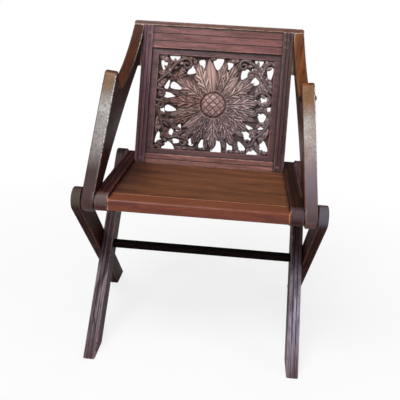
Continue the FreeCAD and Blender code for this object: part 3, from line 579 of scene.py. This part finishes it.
def silvered_arm(tree, name, vector, colour):
    """Arm fronts go from plum above the knuckle, on the right arm a painted lilac-grey sheen, to silver
    where hands rub, and to olive at the elbow; the knuckle and flat sides get painted shade and the inner
    arris a painted highlight.
    """
    start, full, fade, end = ARM_RUB[name]
    height = tree.reach(SEAT_UP)
    front = facing(tree, ARM_FRONT, FRONT_LIMITS)
    low_front = tree.times(front, tree.remap(height, full, start), PLUM_SHARE)
    # Painted lilac-grey sheen on the right arm's low front.
    colour = tree.tint(low_front, colour, PLUM_AND_SHEEN[name])
    speckle = tree.flecks(tree.stretched(vector, SPECKLE_STRETCH), *SPECKLE)
    elbow = tree.remap(tree.reach(ALONG_SEAT), *ELBOW_FADE)
    top_front = tree.times(front, elbow, tree.remap(height, fade, end))
    colour = tree.mix(top_front, colour, tree.tint(speckle, display_colour(OLIVE_GRAIN), OLIVE))
    zone = tree.times(tree.remap(height, start, full), tree.remap(height, end, fade))
    rubbed = tree.times(front, zone, speckle, tree.flecks(vector, *ARM_PATCHES))
    colour = tree.tint(rubbed, colour, SILVERED)
    # The knuckle darkens: its own dark plum-brown and painted shade.
    knuckle_front = tree.times(tree.remap(height, *KNUCKLE_FRONT_FADE), front)
    knuckle = tree.math("MAXIMUM", knuckle_front, tree.remap(height, *KNUCKLE_FADE))
    colour = shaded_sides(tree, name, tree.tint(knuckle, colour, KNUCKLE_TONE_AND_SHADE))
    # Painted highlight in dashes along the inner arris.
    gleam = tree.times(facing(tree, ARM_ARRIS, ARRIS_LIMITS), tree.flecks(vector, *ARRIS_DASHES))
    upwards = tree.remap(height, start - GLEAM_LEAD, full, *GLEAM_SHARES)
    return tree.tint(tree.times(gleam, upwards), colour, GLEAM)


def leg_sheen_and_shade(tree, name, tone, colour):
    """Painted lilac-grey sheen below the middle of the legs, broken by the grain; painted shade above it.
    """
    height = tree.reach(SEAT_UP)
    low = tree.times(tree.remap(height, *LEG_SHEEN_FADE), tree.remap(height, *LEG_FOOT_FADE))
    sheen = tree.times(low, tree.remap(tone, *LEG_SHEEN_GRAIN))
    shade = tree.remap(height, *LEG_SHADE_HEIGHTS, 0.0, LEG_SHADE_SHARE[name])
    return tree.tint(shade, tree.tint(sheen, colour, LEG_SHEEN[name]), LEG_SHADE)


def sheened_head(tree, name, colour):
    """Painted grey sheen on the rounded heads of the outer legs, where they face the front."""
    high = tree.remap(tree.reach(SEAT_UP), *LEG_HEAD_SHEEN_FADE)
    head = tree.times(high, facing(tree, SHEEN_WAY, HEAD_LIMITS))
    return tree.tint(head, colour, LEG_HEAD_SHEEN[name])


def shaded_seat(tree, colour):
    """Painted shade: the seat darkens towards the arm on its left."""
    return tree.tint(tree.remap(tree.reach(ACROSS), *SEAT_SHADE_FADE), colour, SEAT_SHADE)


def brown_ends(tree, colour):
    """The ends of the stretcher that show in the outer legs, browner than its length, which is painted as
    shade.
    """
    ends = tree.math("ADD", facing(tree, ACROSS, FACE_LIMITS), facing(tree, -ACROSS, FACE_LIMITS))
    return tree.tint(ends, colour, PEG_END)


def shaded_sides(tree, name, colour):
    """Painted shade on the flat sides of arms and legs, deepest on those that face across the seat; the
    outer sides go partly to a plain brown.
    """
    inwards = ACROSS if name.endswith("_left") else -ACROSS
    shaded = WARM_UNLIT_SIDE if name.startswith("outer_leg") else UNLIT_SIDE
    colour = tree.tint(facing(tree, -inwards, OUTER_LIMITS), colour, OUTER_SIDE)
    return tree.tint(facing(tree, inwards, INNER_LIMITS), colour, shaded)


def plain_name(name):
    return name.replace("_left", "").replace("_right", "")


def new_material(name):
    """A material with its tree and its shader."""
    material = bpy.data.materials.new(name)
    material.use_nodes = True
    return material, Tree(material.node_tree), material.node_tree.nodes["Principled BSDF"]


def waxed(tree, shader, finish, colour, roughness, height, bump):
    """Colour, polish and fine relief of a waxed surface."""
    strength, distance = bump
    relief = tree.add("ShaderNodeBump", {"Height": height, "Strength": strength, "Distance": distance})
    tree.put(shader.inputs["Base Color"], colour)
    tree.put(shader.inputs["Roughness"], roughness)
    tree.put(shader.inputs["Normal"], relief.outputs[0])
    tree.put(shader.inputs["Specular IOR Level"], FINISHES[finish][-1])


def finish_colours(finish):
    return [display_colour(rgb) for rgb in FINISHES[finish][:-1]]


def oak_material(name, finish, grain, offset):
    """Waxed old oak with its grain along one direction, rubbed edges, and corners darkened by dirt and
    painted shade; some boards also get painted shade, sheen and highlights.
    """
    material, tree, shader = new_material(name + "_oak")
    dark, body, light, worn = finish_colours(finish)
    kind = plain_name(name)
    vector = grain_vector(tree, grain, offset)
    figure = tree.group(OAK_FIGURE, vector, SEAT_RINGS if finish == "seat" else PLAIN_RINGS)
    rubbed = tree.group(WEAR_DIRT_AND_SHADE, vector, BOARD_WEAR)
    colour = tree.mix(BODY_SHARE, tree.mix(figure["Tone"], dark, light), body)
    colour = tree.mix(tree.times(figure["Pores"], PORE_DARKNESS), colour, dark)
    if name in ARM_RUB:
        colour = silvered_arm(tree, name, vector, colour)
    elif finish == "leg":
        colour = shaded_sides(tree, name, leg_sheen_and_shade(tree, name, figure["Tone"], colour))
    elif finish == "outer_leg":
        colour = shaded_sides(tree, name, sheened_head(tree, name, colour))
    elif finish == "seat":
        colour = shaded_seat(tree, colour)
    # The stretcher is painted as shade, its ends browner.
    elif finish == "shade":
        colour = brown_ends(tree, colour)
    elif finish == "nosing":
        colour = tree.tint(facing(tree, SEAT_UP, TOP_LIMITS), colour, NOSING_TOP)
    elif kind == "seat_rail":
        # Painted sheen on the rounded fronts of the seat rails.
        colour = tree.tint(facing(tree, SHEEN_WAY, END_LIMITS), colour, RAIL_END_SHEEN[name])
    wear = PIN_WEAR if name == "back_frame_pins" else EDGE_WEAR
    bare = tree.times(rubbed["Worn"], wear, clamp=True)
    scratched = 0.0
    if kind in SCRATCHES:
        scratched, past_lips = scratch_marks(tree, name, *SCRATCHES[kind])
        bare = tree.times(bare, past_lips)
    colour = tree.mix(bare, colour, worn)
    # Dirt and painted shade in corners.
    colour = tree.tint(tree.times(rubbed["Dirt"], CORNER_DIRT_AND_SHADE, clamp=True), colour, SOOT_AND_SHADE)
    colour = tree.tint(scratched, colour, SOOT_AND_SHADE)
    # Painted shadow along the edges that go in under a neighbour.
    for seam in SHADOW_SEAMS.get(kind, ()):
        colour = tree.tint(seam_shadow(tree, *seam), colour, SOOT_AND_SHADE)
    roughness = tree.remap(figure["Tone"], 0.0, 1.0, *WAX_ROUGHNESS)
    waxed(tree, shader, finish, colour, roughness, figure["Height"], GRAIN_BUMP)
    return material


def across_panel(tree, way, low, high, *shares):
    """How far a point is from the panel's middle along a direction, brought between two shares."""
    middle = PANEL_CENTRE.dot(way)
    return tree.remap(tree.reach(way), middle + low, middle + high, *shares)


def carved_oak_material():
    """Dark waxed oak that deepens to dirt and painted shade in the cuts and low parts and pales on the
    ridges that hands reach, with painted sheen, light, glints and highlights.
    """
    material, tree, shader = new_material("carved_oak")
    dark, body, light, worn = finish_colours("carving")
    vector = grain_vector(tree, UP_BACK, BOARD_SHIFT)
    figure = tree.group(OAK_FIGURE, vector, PLAIN_RINGS)
    rubbed = tree.group(WEAR_DIRT_AND_SHADE, vector, CARVING_WEAR)
    colour = tree.mix(figure["Tone"], body, light)
    # Tints: a random tone for each leaf, and painted highlights on the tendrils' crowns and on the seed
    # head's lower collar.
    tint = tree.value("tint")
    colour = tree.mix(tree.remap(tint, *DARK_TINT), colour, dark)
    colour = tree.mix(tree.remap(tint, *PALE_TINT), colour, worn)
    # Painted lilac sheen towards the lower right.
    sheen_share = across_panel(tree, LILAC_WAY, *LILAC_FADE)
    colour = tree.tint(sheen_share, colour, LILAC_SHEEN)
    # Painted warm bounce light in the seed head's moat.
    colour = tree.tint(tree.value("ring"), colour, WARM_BOUNCE_LIGHT)
    # Painted shade towards the lower left and painted light towards the upper right.
    colour = tree.mix(across_panel(tree, BRIGHT_WAY, *PAINTED_SHADE_FADE), colour, dark)
    colour = tree.mix(across_panel(tree, BRIGHT_WAY, *PAINTED_LIGHT_FADE), colour, worn)
    # Painted glints on the sheened side.
    glint = tree.times(tree.flecks(vector, *SPARKLE), tree.remap(sheen_share, *GLINT_FADE))
    colour = tree.tint(glint, colour, GLINT)
    # Furrows darken with dirt and painted shade.
    colour = tree.mix(tree.times(tree.value("hollow"), FURROW_DIRT_AND_SHADE), colour, dark)
    # Painted shade on the carving's low parts.
    relief = across_panel(tree, PANEL_OUT, *CARVING_RELIEF)
    front = tree.mix(relief, dark, colour)
    plain_dark, _, plain_light, _ = finish_colours("frame")
    back = tree.mix(figure["Tone"], plain_dark, plain_light)
    colour = tree.mix(facing(tree, -PANEL_OUT, BEHIND_LIMITS), front, back)
    colour = tree.mix(tree.times(rubbed["Worn"], RIDGE_WEAR), colour, worn)
    # Dirt and painted shade in the carving's cuts.
    colour = tree.tint(tree.times(rubbed["Dirt"], CUT_DIRT_AND_SHADE, clamp=True), colour, SOOT_AND_SHADE)
    roughness = tree.remap(relief, 0.0, 1.0, *CARVING_ROUGHNESS)
    waxed(tree, shader, "carving", colour, roughness, figure["Height"], CARVING_BUMP)
    return material


# Edges where a painted shadow falls under a neighbour: direction, place along it and width.
PANEL_SIDE = PANEL_HALF_WIDTH * MM
PANEL_LEVEL = PANEL_CENTRE.dot(UP_BACK)
PANEL_RISE = PANEL_HALF_HEIGHT * MM
TOP_RAIL_TOP = max(vertex.co.dot(UP_BACK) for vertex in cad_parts["back_top_rail"].data.vertices)
SIDE_SHADOW_SEAMS = ((ACROSS, PANEL_SIDE, 0.005), (-ACROSS, PANEL_SIDE, 0.005))
SHADOW_SEAMS = {
    "back_top_rail": (*SIDE_SHADOW_SEAMS, (UP_BACK, TOP_RAIL_TOP, 0.006)),
    "back_bottom_rail": ((ACROSS, PANEL_SIDE, 0.004), (-ACROSS, PANEL_SIDE, 0.004)),
    "panel_border": (*SIDE_SHADOW_SEAMS, (UP_BACK, PANEL_LEVEL + PANEL_RISE, 0.008),
                     (-UP_BACK, PANEL_RISE - PANEL_LEVEL, 0.004)),
}

# Which finish each board or pair of boards has (all others are pegs), and where the grain runs of those
# that don't lie across.
BOARDS = {
    "seat_board": "seat", "seat_front_rail": "nosing", "seat_rear_rail": "frame", "stretcher": "shade",
    "seat_rail": "rail", "seat_rail_left": "rail_red", "inner_leg": "leg", "outer_leg": "outer_leg",
    "arm": "arm", "arm_right": "arm_gold", "back_stile": "stile", "back_stile_right": "stile_brown",
    "back_top_rail": "frame", "back_bottom_rail": "low_rail", "back_cap": "cap", "carved_panel": "frame",
    "back_frame_pins": "stile", "elbow_peg_right": "boss"}
GRAINS = {
    "seat_rail": ALONG_SEAT, "inner_leg": INNER_LEG_RUN, "outer_leg": OUTER_LEG_RUN,
    "arm": ARM_RISE.normalized(), "back_stile": UP_BACK, "back_frame_pins": UP_BACK}
BOARD_SHIFT = Vector((0.37, 0.21, 0.13))


def dress_boards():
    """Every board gets oak of its own cut."""
    for index, name in enumerate(sorted(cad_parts)):
        kind = plain_name(name)
        finish = BOARDS.get(name, BOARDS.get(kind, "peg"))
        oak = oak_material(name, finish, GRAINS.get(kind, ACROSS), BOARD_SHIFT * (index + 1))
        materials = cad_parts[name].data.materials
        materials.clear()
        materials.append(oak)


def linked(name, data):
    piece = bpy.data.objects.new(name, data)
    bpy.context.scene.collection.objects.link(piece)
    return piece


def drawn_mesh(name, points, edges=(), faces=()):
    mesh = bpy.data.meshes.new(name)
    mesh.from_pydata(points, edges, faces)
    return mesh


def rectangle(x, low, high, *z):
    return [(-x, low, *z), (x, low, *z), (x, high, *z), (-x, high, *z)]


def heading(angle):
    return Vector((math.cos(angle), math.sin(angle)))


def face_outwards(mesh, weld=0.0):
    shape = bmesh.new()
    shape.from_mesh(mesh)
    if weld:
        bmesh.ops.remove_doubles(shape, verts=shape.verts, dist=weld)
    bmesh.ops.recalc_face_normals(shape, faces=shape.faces)
    shape.to_mesh(mesh)
    shape.free()


def plain_mesh(name, source, weld=0.0):
    """The mesh that an object comes to, after which the object is taken away."""
    graph = bpy.context.evaluated_depsgraph_get()
    mesh = bpy.data.meshes.new_from_object(source.evaluated_get(graph))
    mesh.name = name
    face_outwards(mesh, weld)
    bpy.data.objects.remove(source)
    return mesh


def bands(first, rows, around):
    """Faces between rings of points that follow one another."""
    faces = []
    for row in range(rows):
        for step in range(around):
            a = first + row * around + step
            b = first + row * around + (step + 1) % around
            faces.append((a, b, b + around, a + around))
    return faces


def outward_mesh(name, vertices, faces):
    """A closed mesh whose faces all look outwards, shaded smooth."""
    mesh = drawn_mesh(name, vertices, faces=faces)
    face_outwards(mesh)
    mesh.shade_smooth()
    return mesh


def keep_values(mesh, label, values, kind="FLOAT"):
    """Values of a mesh's points, under a name that shaders and geometry trees read."""
    field = "vector" if kind == "FLOAT_VECTOR" else "value"
    mesh.attributes.new(label, kind, "POINT").data.foreach_set(field, values)


def leaf_half_width(u, lobes, notch, sweep):
    """Half width of a leaf at a share of its length: a waist at the root, a full middle, a sharp tip."""
    swell = LEAF_WAIST + (1.0 - LEAF_WAIST) * math.sin(0.5 * math.pi * min(u / LEAF_BELLY, 1.0))
    taper = 1.0 - max((u - LEAF_BELLY) / (1.0 - LEAF_BELLY), 0.0) ** LEAF_TAPER
    tooth = 1.0 - notch * (1.0 - (lobes * u - sweep) % 1.0) ** LEAF_TOOTH if lobes else 1.0
    return max(swell * taper * tooth, LEAF_TIP)


def leaf_furrow(u, v, lobes, sweep):
    """How deep in a furrow a point of a leaf is: midrib and the cuts between lobes that sweep forward."""
    side = abs(v)
    midrib = math.exp(-(v / LEAF_MIDRIB) ** 2) * (1.0 - MIDRIB_FADE * u)
    if not lobes:
        return SMOOTH_MIDRIB * midrib
    across_lobe = (lobes * u - sweep * side) % 1.0
    between = (1.0 - math.sin(math.pi * across_lobe) ** LOBE_FULLNESS) * min(1.0, LOBE_RISE * side)
    return max(midrib, between)


def carved_leaf(name, lobes, notch, sweep, steps, sides):
    """A leaf one long and one to each side, flat behind, with its length and furrows kept on its points."""
    vertices = []
    hollows = []
    for row in range(steps + 1):
        u = row / steps
        half = leaf_half_width(u, lobes, notch, sweep)
        arch = LEAF_ARCH + (1.0 - LEAF_ARCH) * math.sin(math.pi * (ARCH_START + ARCH_RUN * u))
        for column in range(-sides, sides + 1):
            v = column / sides
            furrow = leaf_furrow(u, v, lobes, sweep)
            crown = arch * (1.0 - LEAF_ROUND * abs(v) ** 2)
            vertices.append((u, v * half, crown * (1.0 - LEAF_CUT * furrow)))
            hollows.append(furrow)
        vertices += [(u, half, 0.0), (u, -half, 0.0)]
        hollows += [1.0, 1.0]
    around = 2 * sides + 3
    faces = bands(0, steps, around)
    faces.append(tuple(range(around)))
    faces.append(tuple(range(steps * around, (steps + 1) * around)))
    mesh = outward_mesh(name, vertices, faces)
    keep_values(mesh, "along", [vertex.co.x for vertex in mesh.vertices])
    keep_values(mesh, "hollow", hollows)
    return linked(name, mesh)


def growing_tree(name):
    """An empty geometry tree for a pattern object and a finish, and the pattern's shape."""
    tree, given, result = node_tree(
        "GeometryNodeTree", name, {"Geometry": "Geometry", "Pattern": "Object", "Finish": "Material"},
        {"Geometry": "Geometry"})
    pattern = tree.add("GeometryNodeObjectInfo", {"Object": given["Pattern"]}).outputs["Geometry"]
    return tree, given, result, pattern


def named_value(tree, name, kind="FLOAT"):
    node = tree.add("GeometryNodeInputNamedAttribute", {"Name": name}, data_type=kind)
    return node.outputs["Attribute"]


def finish_tree(tree, geometry, given, result):
    """Smooth, in its finish."""
    smooth = tree.add("GeometryNodeSetShadeSmooth", {0: geometry}).outputs[0]
    dressed = tree.add("GeometryNodeSetMaterial", {"Geometry": smooth, "Material": given["Finish"]})
    tree.put(result["Geometry"], dressed.outputs[0])
    return tree.tree


def leaf_spray_tree():
    """Leaves set on points, each turned, sized and swayed by its own values."""
    tree, given, result, leaf = growing_tree("leaf_spray")
    points = tree.add("GeometryNodeMeshToPoints", {0: given["Geometry"]}).outputs[0]
    placed = tree.add("GeometryNodeInstanceOnPoints", {
        "Points": points, "Instance": leaf, "Rotation": named_value(tree, "turn", "FLOAT_VECTOR"),
        "Scale": named_value(tree, "size", "FLOAT_VECTOR")}).outputs[0]
    whole = tree.add("GeometryNodeRealizeInstances", {0: placed}).outputs[0]
    push = tree.add("ShaderNodeVectorMath", {
        0: named_value(tree, "side", "FLOAT_VECTOR"),
        "Scale": tree.math("POWER", named_value(tree, "along"), 2.0)}, operation="SCALE").outputs[0]
    swayed = tree.add("GeometryNodeSetPosition", {"Geometry": whole, "Offset": push}).outputs[0]
    return finish_tree(tree, swayed, given, result)


def tendril_tree():
    """A fluted band drawn along each line, as wide as its points say."""
    tree, given, result, section = growing_tree("tendril")
    line = tree.add("GeometryNodeMeshToCurve", {0: given["Geometry"]}).outputs[0]
    smooth = tree.add("GeometryNodeCurveSplineType", {0: line}, spline_type="CATMULL_ROM").outputs[0]
    even = tree.add("GeometryNodeResampleCurve", {"Curve": smooth, "Length": TENDRIL_STEP}, mode="LENGTH")
    upright = tree.add("GeometryNodeSetCurveNormal", {0: even.outputs[0]}, mode="Z_UP").outputs[0]
    outline = tree.add("GeometryNodeMeshToCurve", {0: section}).outputs[0]
    band = tree.add("GeometryNodeCurveToMesh", {
        "Curve": upright, "Profile Curve": outline, "Scale": named_value(tree, "width"), "Fill Caps": True})
    return finish_tree(tree, band.outputs[0], given, result)


def grown(name, seed, tree, pattern, finish):
    """The mesh that a geometry tree makes of a seed and a pattern, which are then taken away."""
    modifier = seed.modifiers.new("grow", "NODES")
    modifier.node_group = tree
    values = {"Pattern": pattern, "Finish": finish}
    for item in tree.interface.items_tree:
        if item.name in values:
            modifier[item.identifier] = values[item.name]
    mesh = plain_mesh(name, seed)
    bpy.data.objects.remove(pattern)
    return mesh


def panel_piece(name, mesh, finish=None):
    """A piece of the carved panel, moved from its flat drawing into the reclined back."""
    if finish:
        mesh.materials.append(finish)
    mesh.transform(PANEL_PLACE)
    piece = linked(name, mesh)
    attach(piece, "chair_frame")
    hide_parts("carved_panel")


def leaf_points(name, leaves, cover, step, top, drop):
    """Points for a spray of leaves, every second one set lower, no two with the same back."""
    roots, turns, sizes, sides, tints = [], [], [], [], []
    for index, (x, y, bearing, length, half, sway) in enumerate(leaves):
        angle = math.radians(bearing)
        low = CARVING_BACK + cover + step * index
        high = top - drop * (index % 2)
        roots.append((x, y, low))
        turns += [0.0, 0.0, angle]
        sizes += [length, half, high - low]
        sides += [-math.sin(angle) * sway, math.cos(angle) * sway, 0.0]
        tints.append((TINT_FIRST + TINT_STEP * index) % 1.0 - 0.5)
    mesh = drawn_mesh(name, roots)
    for label, values in (("turn", turns), ("size", sizes), ("side", sides)):
        keep_values(mesh, label, values, "FLOAT_VECTOR")
    keep_values(mesh, "tint", tints)
    return linked(name, mesh)


def round_flower(petals):
    """Petals as leaves with their roots round the flower's collar."""
    leaves = []
    for bearing, reach, half, sway in petals:
        root = FLOWER_CENTRE + PETAL_ROOT * heading(math.radians(bearing))
        leaves.append((root.x, root.y, bearing, reach - PETAL_ROOT, half, sway))
    return leaves


def buds():
    """Small lobes that leave each tendril to its left and right in turn."""
    leaves = []
    for points, _, _ in TENDRILS:
        line = [Vector(point) for point in points]
        run = BUD_SPACING / 2
        for start, end in zip(line, line[1:]):
            stretch = (end - start).length
            ahead = math.degrees(math.atan2(end.y - start.y, end.x - start.x))
            while run < stretch:
                root = start + (end - start) * (run / stretch)
                lean = BUD_LEAN if len(leaves) % 2 else -BUD_LEAN
                leaves.append((root.x, root.y, ahead + lean, *BUD_SIZE, BUD_SWAY * lean))
                run += BUD_SPACING
            run -= stretch
    return leaves


def carved_leaves(finish):
    """The sunflower's petals, the leaves among the scrolls and the buds on their stems."""
    tree = leaf_spray_tree()
    sprays = (
        ("sunflower_petals", "feathered_leaf", round_flower(FEATHERED_PETALS), FEATHERED_LEVELS),
        ("smooth_petals", "smooth_leaf", round_flower(SMOOTH_PETALS), SMOOTH_LEVELS),
        ("scroll_leaves", "curled_leaf", CORNER_LEAVES, LEAF_LEVELS),
        ("scroll_buds", "bud_leaf", buds(), BUD_LEVELS),
    )
    for name, kind, leaves, levels in sprays:
        leaf = carved_leaf(kind, *LEAF_KINDS[kind])
        points = leaf_points(name + "_points", leaves, *levels)
        panel_piece(name, grown(name, points, tree, leaf, finish))


def tendril_line(points, eye, turns):
    """A tendril's own points, then a coil that winds in round its eye."""
    line = [Vector(point) for point in points]
    if eye is None:
        return line
    centre = Vector(eye)
    arm = line[-1] - centre
    start = math.atan2(arm.y, arm.x)
    count = round(abs(turns) * 2 * math.pi / COIL_STEP)
    for index in range(1, count + 1):
        share = index / count
        radius = arm.length * (COIL_END_RADIUS / arm.length) ** share
        angle = start + share * turns * 2 * math.pi
        line.append(centre + radius * heading(angle))
    return line


def tendrils(finish):
    """The scrolling stems, with coiled ends, round the flower."""
    count = len(TENDRIL_SECTION)
    corners = [(x, y, 0.0) for x, y, _ in TENDRIL_SECTION]
    furrows = [furrow for _, _, furrow in TENDRIL_SECTION]
    outline = drawn_mesh("tendril_section", corners, [(k, (k + 1) % count) for k in range(count)])
    keep_values(outline, "hollow", furrows)
    # Painted highlight on the tendrils' crowns.
    keep_values(outline, "tint", [TENDRIL_CROWN_HIGHLIGHT * (1.0 - furrow) for furrow in furrows])
    section = linked("tendril_section", outline)
    vertices = []
    edges = []
    widths = []
    for tendril in TENDRILS:
        line = tendril_line(*tendril)
        first = len(vertices)
        for index, point in enumerate(line):
            share = index / (len(line) - 1)
            vertices.append((point.x, point.y, TENDRIL_HEIGHT))
            widths.append(TENDRIL_WIDTH[0] + share * (TENDRIL_WIDTH[1] - TENDRIL_WIDTH[0]))
        edges += [(first + k, first + k + 1) for k in range(len(line) - 1)]
    mesh = drawn_mesh("tendril_lines", vertices, edges)
    keep_values(mesh, "width", widths)
    seed = linked("tendril_lines", mesh)
    panel_piece("scroll_tendrils", grown("scroll_tendrils", seed, tendril_tree(), section, finish))


def head_height(radius):
    for (r0, z0), (r1, z1) in zip(HEAD_PROFILE, HEAD_PROFILE[1:]):
        if radius <= r1:
            return z0 + (z1 - z0) * (radius - r0) / (r1 - r0)
    return HEAD_PROFILE[-1][1]


def hatch_cut(x, y):
    """Depth of the seed head's two sets of crossing lines at a point."""
    deepest = 0.0
    for slope in (1, -1):
        along = (x + slope * y) / math.sqrt(2) + HEAD_HATCH_GAP / 2
        off = abs((along + HEAD_HATCH_GAP / 2) % HEAD_HATCH_GAP - HEAD_HATCH_GAP / 2)
        deepest = max(deepest, HEAD_HATCH_DEPTH * max(0.0, 1.0 - off / HEAD_HATCH_WIDTH))
    return deepest


def seed_head(finish):
    """The domed and cross-hatched seed head in its moat and collar, closed flat behind."""
    around = HEAD_AROUND
    radii = [HEAD_STEP * (step + 1) for step in range(HEAD_STEPS)]
    radii += [r for r, _ in HEAD_PROFILE if r > radii[-1]]
    vertices = [(FLOWER_CENTRE.x, FLOWER_CENTRE.y, head_height(0.0))]
    hollows = [0.0]
    rings = [0.0]
    tints = [HEAD_TINT]
    for radius in radii:
        for step in range(around):
            angle = 2 * math.pi * step / around
            x = radius * math.cos(angle)
            y = radius * math.sin(angle)
            cut = hatch_cut(x, y) if radius < HEAD_HATCHED else 0.0
            vertices.append((FLOWER_CENTRE.x + x, FLOWER_CENTRE.y + y, head_height(radius) - cut))
            hollows.append(cut / HEAD_HATCH_DEPTH)
            # Painted warm bounce light in the moat.
            rings.append(HEAD_RING_SHARE if HEAD_RING[0] < radius < HEAD_RING[1] else 0.0)
            # Painted highlight on the lower half of the collar.
            lit_collar = radius > HEAD_RING[1] and y < 0.0
            tints.append(COLLAR_HIGHLIGHT if lit_collar else HEAD_TINT)
    last = 1 + (len(radii) - 1) * around
    faces = [(0, 1 + step, 1 + (step + 1) % around) for step in range(around)]
    faces += bands(1, len(radii) - 1, around)
    faces.append(tuple(range(last, last + around)))
    mesh = outward_mesh("seed_head", vertices, faces)
    for label, values in (("hollow", hollows), ("ring", rings), ("tint", tints)):
        keep_values(mesh, label, values)
    panel_piece("seed_head", mesh, finish)


def panel_border(finish):
    """The plain border of the panel, its inner edge bevelled round the pierced field."""
    bevel = BORDER_BEVEL
    outer = (PANEL_HALF_WIDTH, -PANEL_HALF_HEIGHT, PANEL_HALF_HEIGHT)
    inner = (FIELD_SIDE, FIELD_BOTTOM, FIELD_TOP)
    lip = (FIELD_SIDE + bevel, FIELD_BOTTOM - bevel, FIELD_TOP + bevel)
    loops = ((outer, -PANEL_FACE), (outer, PANEL_FACE), (lip, PANEL_FACE),
             (inner, PANEL_FACE - bevel), (inner, bevel - PANEL_FACE), (lip, -PANEL_FACE))
    vertices = []
    for sides, z in loops:
        vertices += rectangle(*sides, z)
    faces = [[corner % len(vertices) for corner in face] for face in bands(0, len(loops), 4)]
    mesh = outward_mesh("panel_border", vertices, faces)
    mesh.shade_flat()
    panel_piece("panel_border", mesh, finish)


def opening_points(x, y, width, length, bearing):
    """The corners of one opening, rounded off later by its spline."""
    ahead = heading(math.radians(bearing))
    aside = Vector((-ahead.y, ahead.x))
    return [Vector((x, y)) + length * a * ahead + width * s * aside for a, s in OPENING_OUTLINE]


def closed_line(curve, kind, corners):
    line = curve.splines.new(kind)
    line.points.add(len(corners) - 1)
    for point, corner in zip(line.points, corners):
        point.co = (*corner, 0.0, 1.0)
    line.use_cyclic_u = True
    return line


def pierced_ground(finish):
    """The thin ground behind the carving, pierced between the leaves."""
    curve = bpy.data.curves.new("pierced_ground", "CURVE")
    curve.dimensions = "2D"
    curve.fill_mode = "BOTH"
    curve.resolution_u = OPENING_STEPS
    half_thickness = (GROUND_TOP - CARVING_BACK) / 2
    curve.extrude = half_thickness
    lap = GROUND_LAP
    closed_line(curve, "POLY", rectangle(FIELD_SIDE + lap, FIELD_BOTTOM - lap, FIELD_TOP + lap))
    for opening in OPENINGS:
        closed_line(curve, "NURBS", opening_points(*opening)).order_u = OPENING_ORDER
    mesh = plain_mesh("pierced_ground", linked("pierced_ground_drawing", curve), WELD)
    mesh.transform(Matrix.Translation((0.0, 0.0, CARVING_BACK + half_thickness)))
    mesh.shade_flat()
    mesh.materials.clear()
    panel_piece("pierced_ground", mesh, finish)


def carved_panel():
    """Border, sunflower and scrolls, which together stand for the panel."""
    finish = carved_oak_material()
    panel_border(oak_material("panel_border", "border", ACROSS, BOARD_SHIFT))
    pierced_ground(finish)
    carved_leaves(finish)
    tendrils(finish)
    seed_head(finish)


def area_light(name, place, target_height, size, power, colour, glossy):
    lamp = bpy.data.lights.new(name, "AREA")
    lamp.shape = "RECTANGLE"
    lamp.size, lamp.size_y = size
    lamp.energy = power
    lamp.color = colour
    holder = linked(name, lamp)
    holder.visible_camera = False
    holder.visible_glossy = glossy
    holder.location = place
    ahead = Vector((0.0, 0.0, target_height)) - Vector(place)
    holder.rotation_euler = ahead.to_track_quat("-Z", "Y").to_euler()


def studio():
    """A pale floor, one broad window light from the front and above, and softer fills."""
    square = rectangle(FLOOR_HALF, -FLOOR_HALF, FLOOR_HALF, 0.0)
    mesh = drawn_mesh("studio_floor", square, faces=[(0, 1, 2, 3)])
    floor = linked("studio_floor", mesh)
    material, tree, shader = new_material("pale_floor")
    tree.put(shader.inputs["Base Color"], FLOOR_GREY)
    tree.put(shader.inputs["Roughness"], FLOOR_ROUGHNESS)
    white = tree.add("ShaderNodeEmission", {"Color": WHITE, "Strength": 1.0})
    paleness = tree.remap(tree.vector("LENGTH", tree.place()), *FLOOR_WHITE)
    seen = tree.times(tree.add("ShaderNodeLightPath").outputs["Is Camera Ray"], paleness)
    tree.end("Material Output", seen, shader, white)
    mesh.materials.append(material)

    world = bpy.data.worlds.new("studio_world")
    bpy.context.scene.world = world
    world.use_nodes = True
    tree = Tree(world.node_tree)
    seen = tree.add("ShaderNodeLightPath").outputs["Is Camera Ray"]
    dim = tree.add("ShaderNodeBackground", {"Color": SKY, "Strength": SKY_STRENGTH})
    bright = tree.add("ShaderNodeBackground", {"Color": WHITE, "Strength": 1.0})
    tree.end("World Output", seen, dim, bright)

    for name, values in LAMPS.items():
        area_light(name, *values)


def photo_camera():
    """The camera at the picture's own viewpoint, tilt and roll."""
    data = bpy.data.cameras.new("photo_camera")
    data.lens = CAMERA_LENS
    camera = linked("photo_camera", data)
    yaw = Matrix.Rotation(-CAMERA_YAW, 4, "Z")
    pitch = Matrix.Rotation(math.pi / 2 - CAMERA_PITCH, 4, "X")
    roll = Matrix.Rotation(CAMERA_ROLL, 4, "Z")
    camera.matrix_world = Matrix.Translation(CAMERA_PLACE) @ yaw @ pitch @ roll
    bpy.context.scene.camera = camera


dress_boards()
carved_panel()
studio()
photo_camera()
bpy.context.scene.view_settings.view_transform = "Standard"
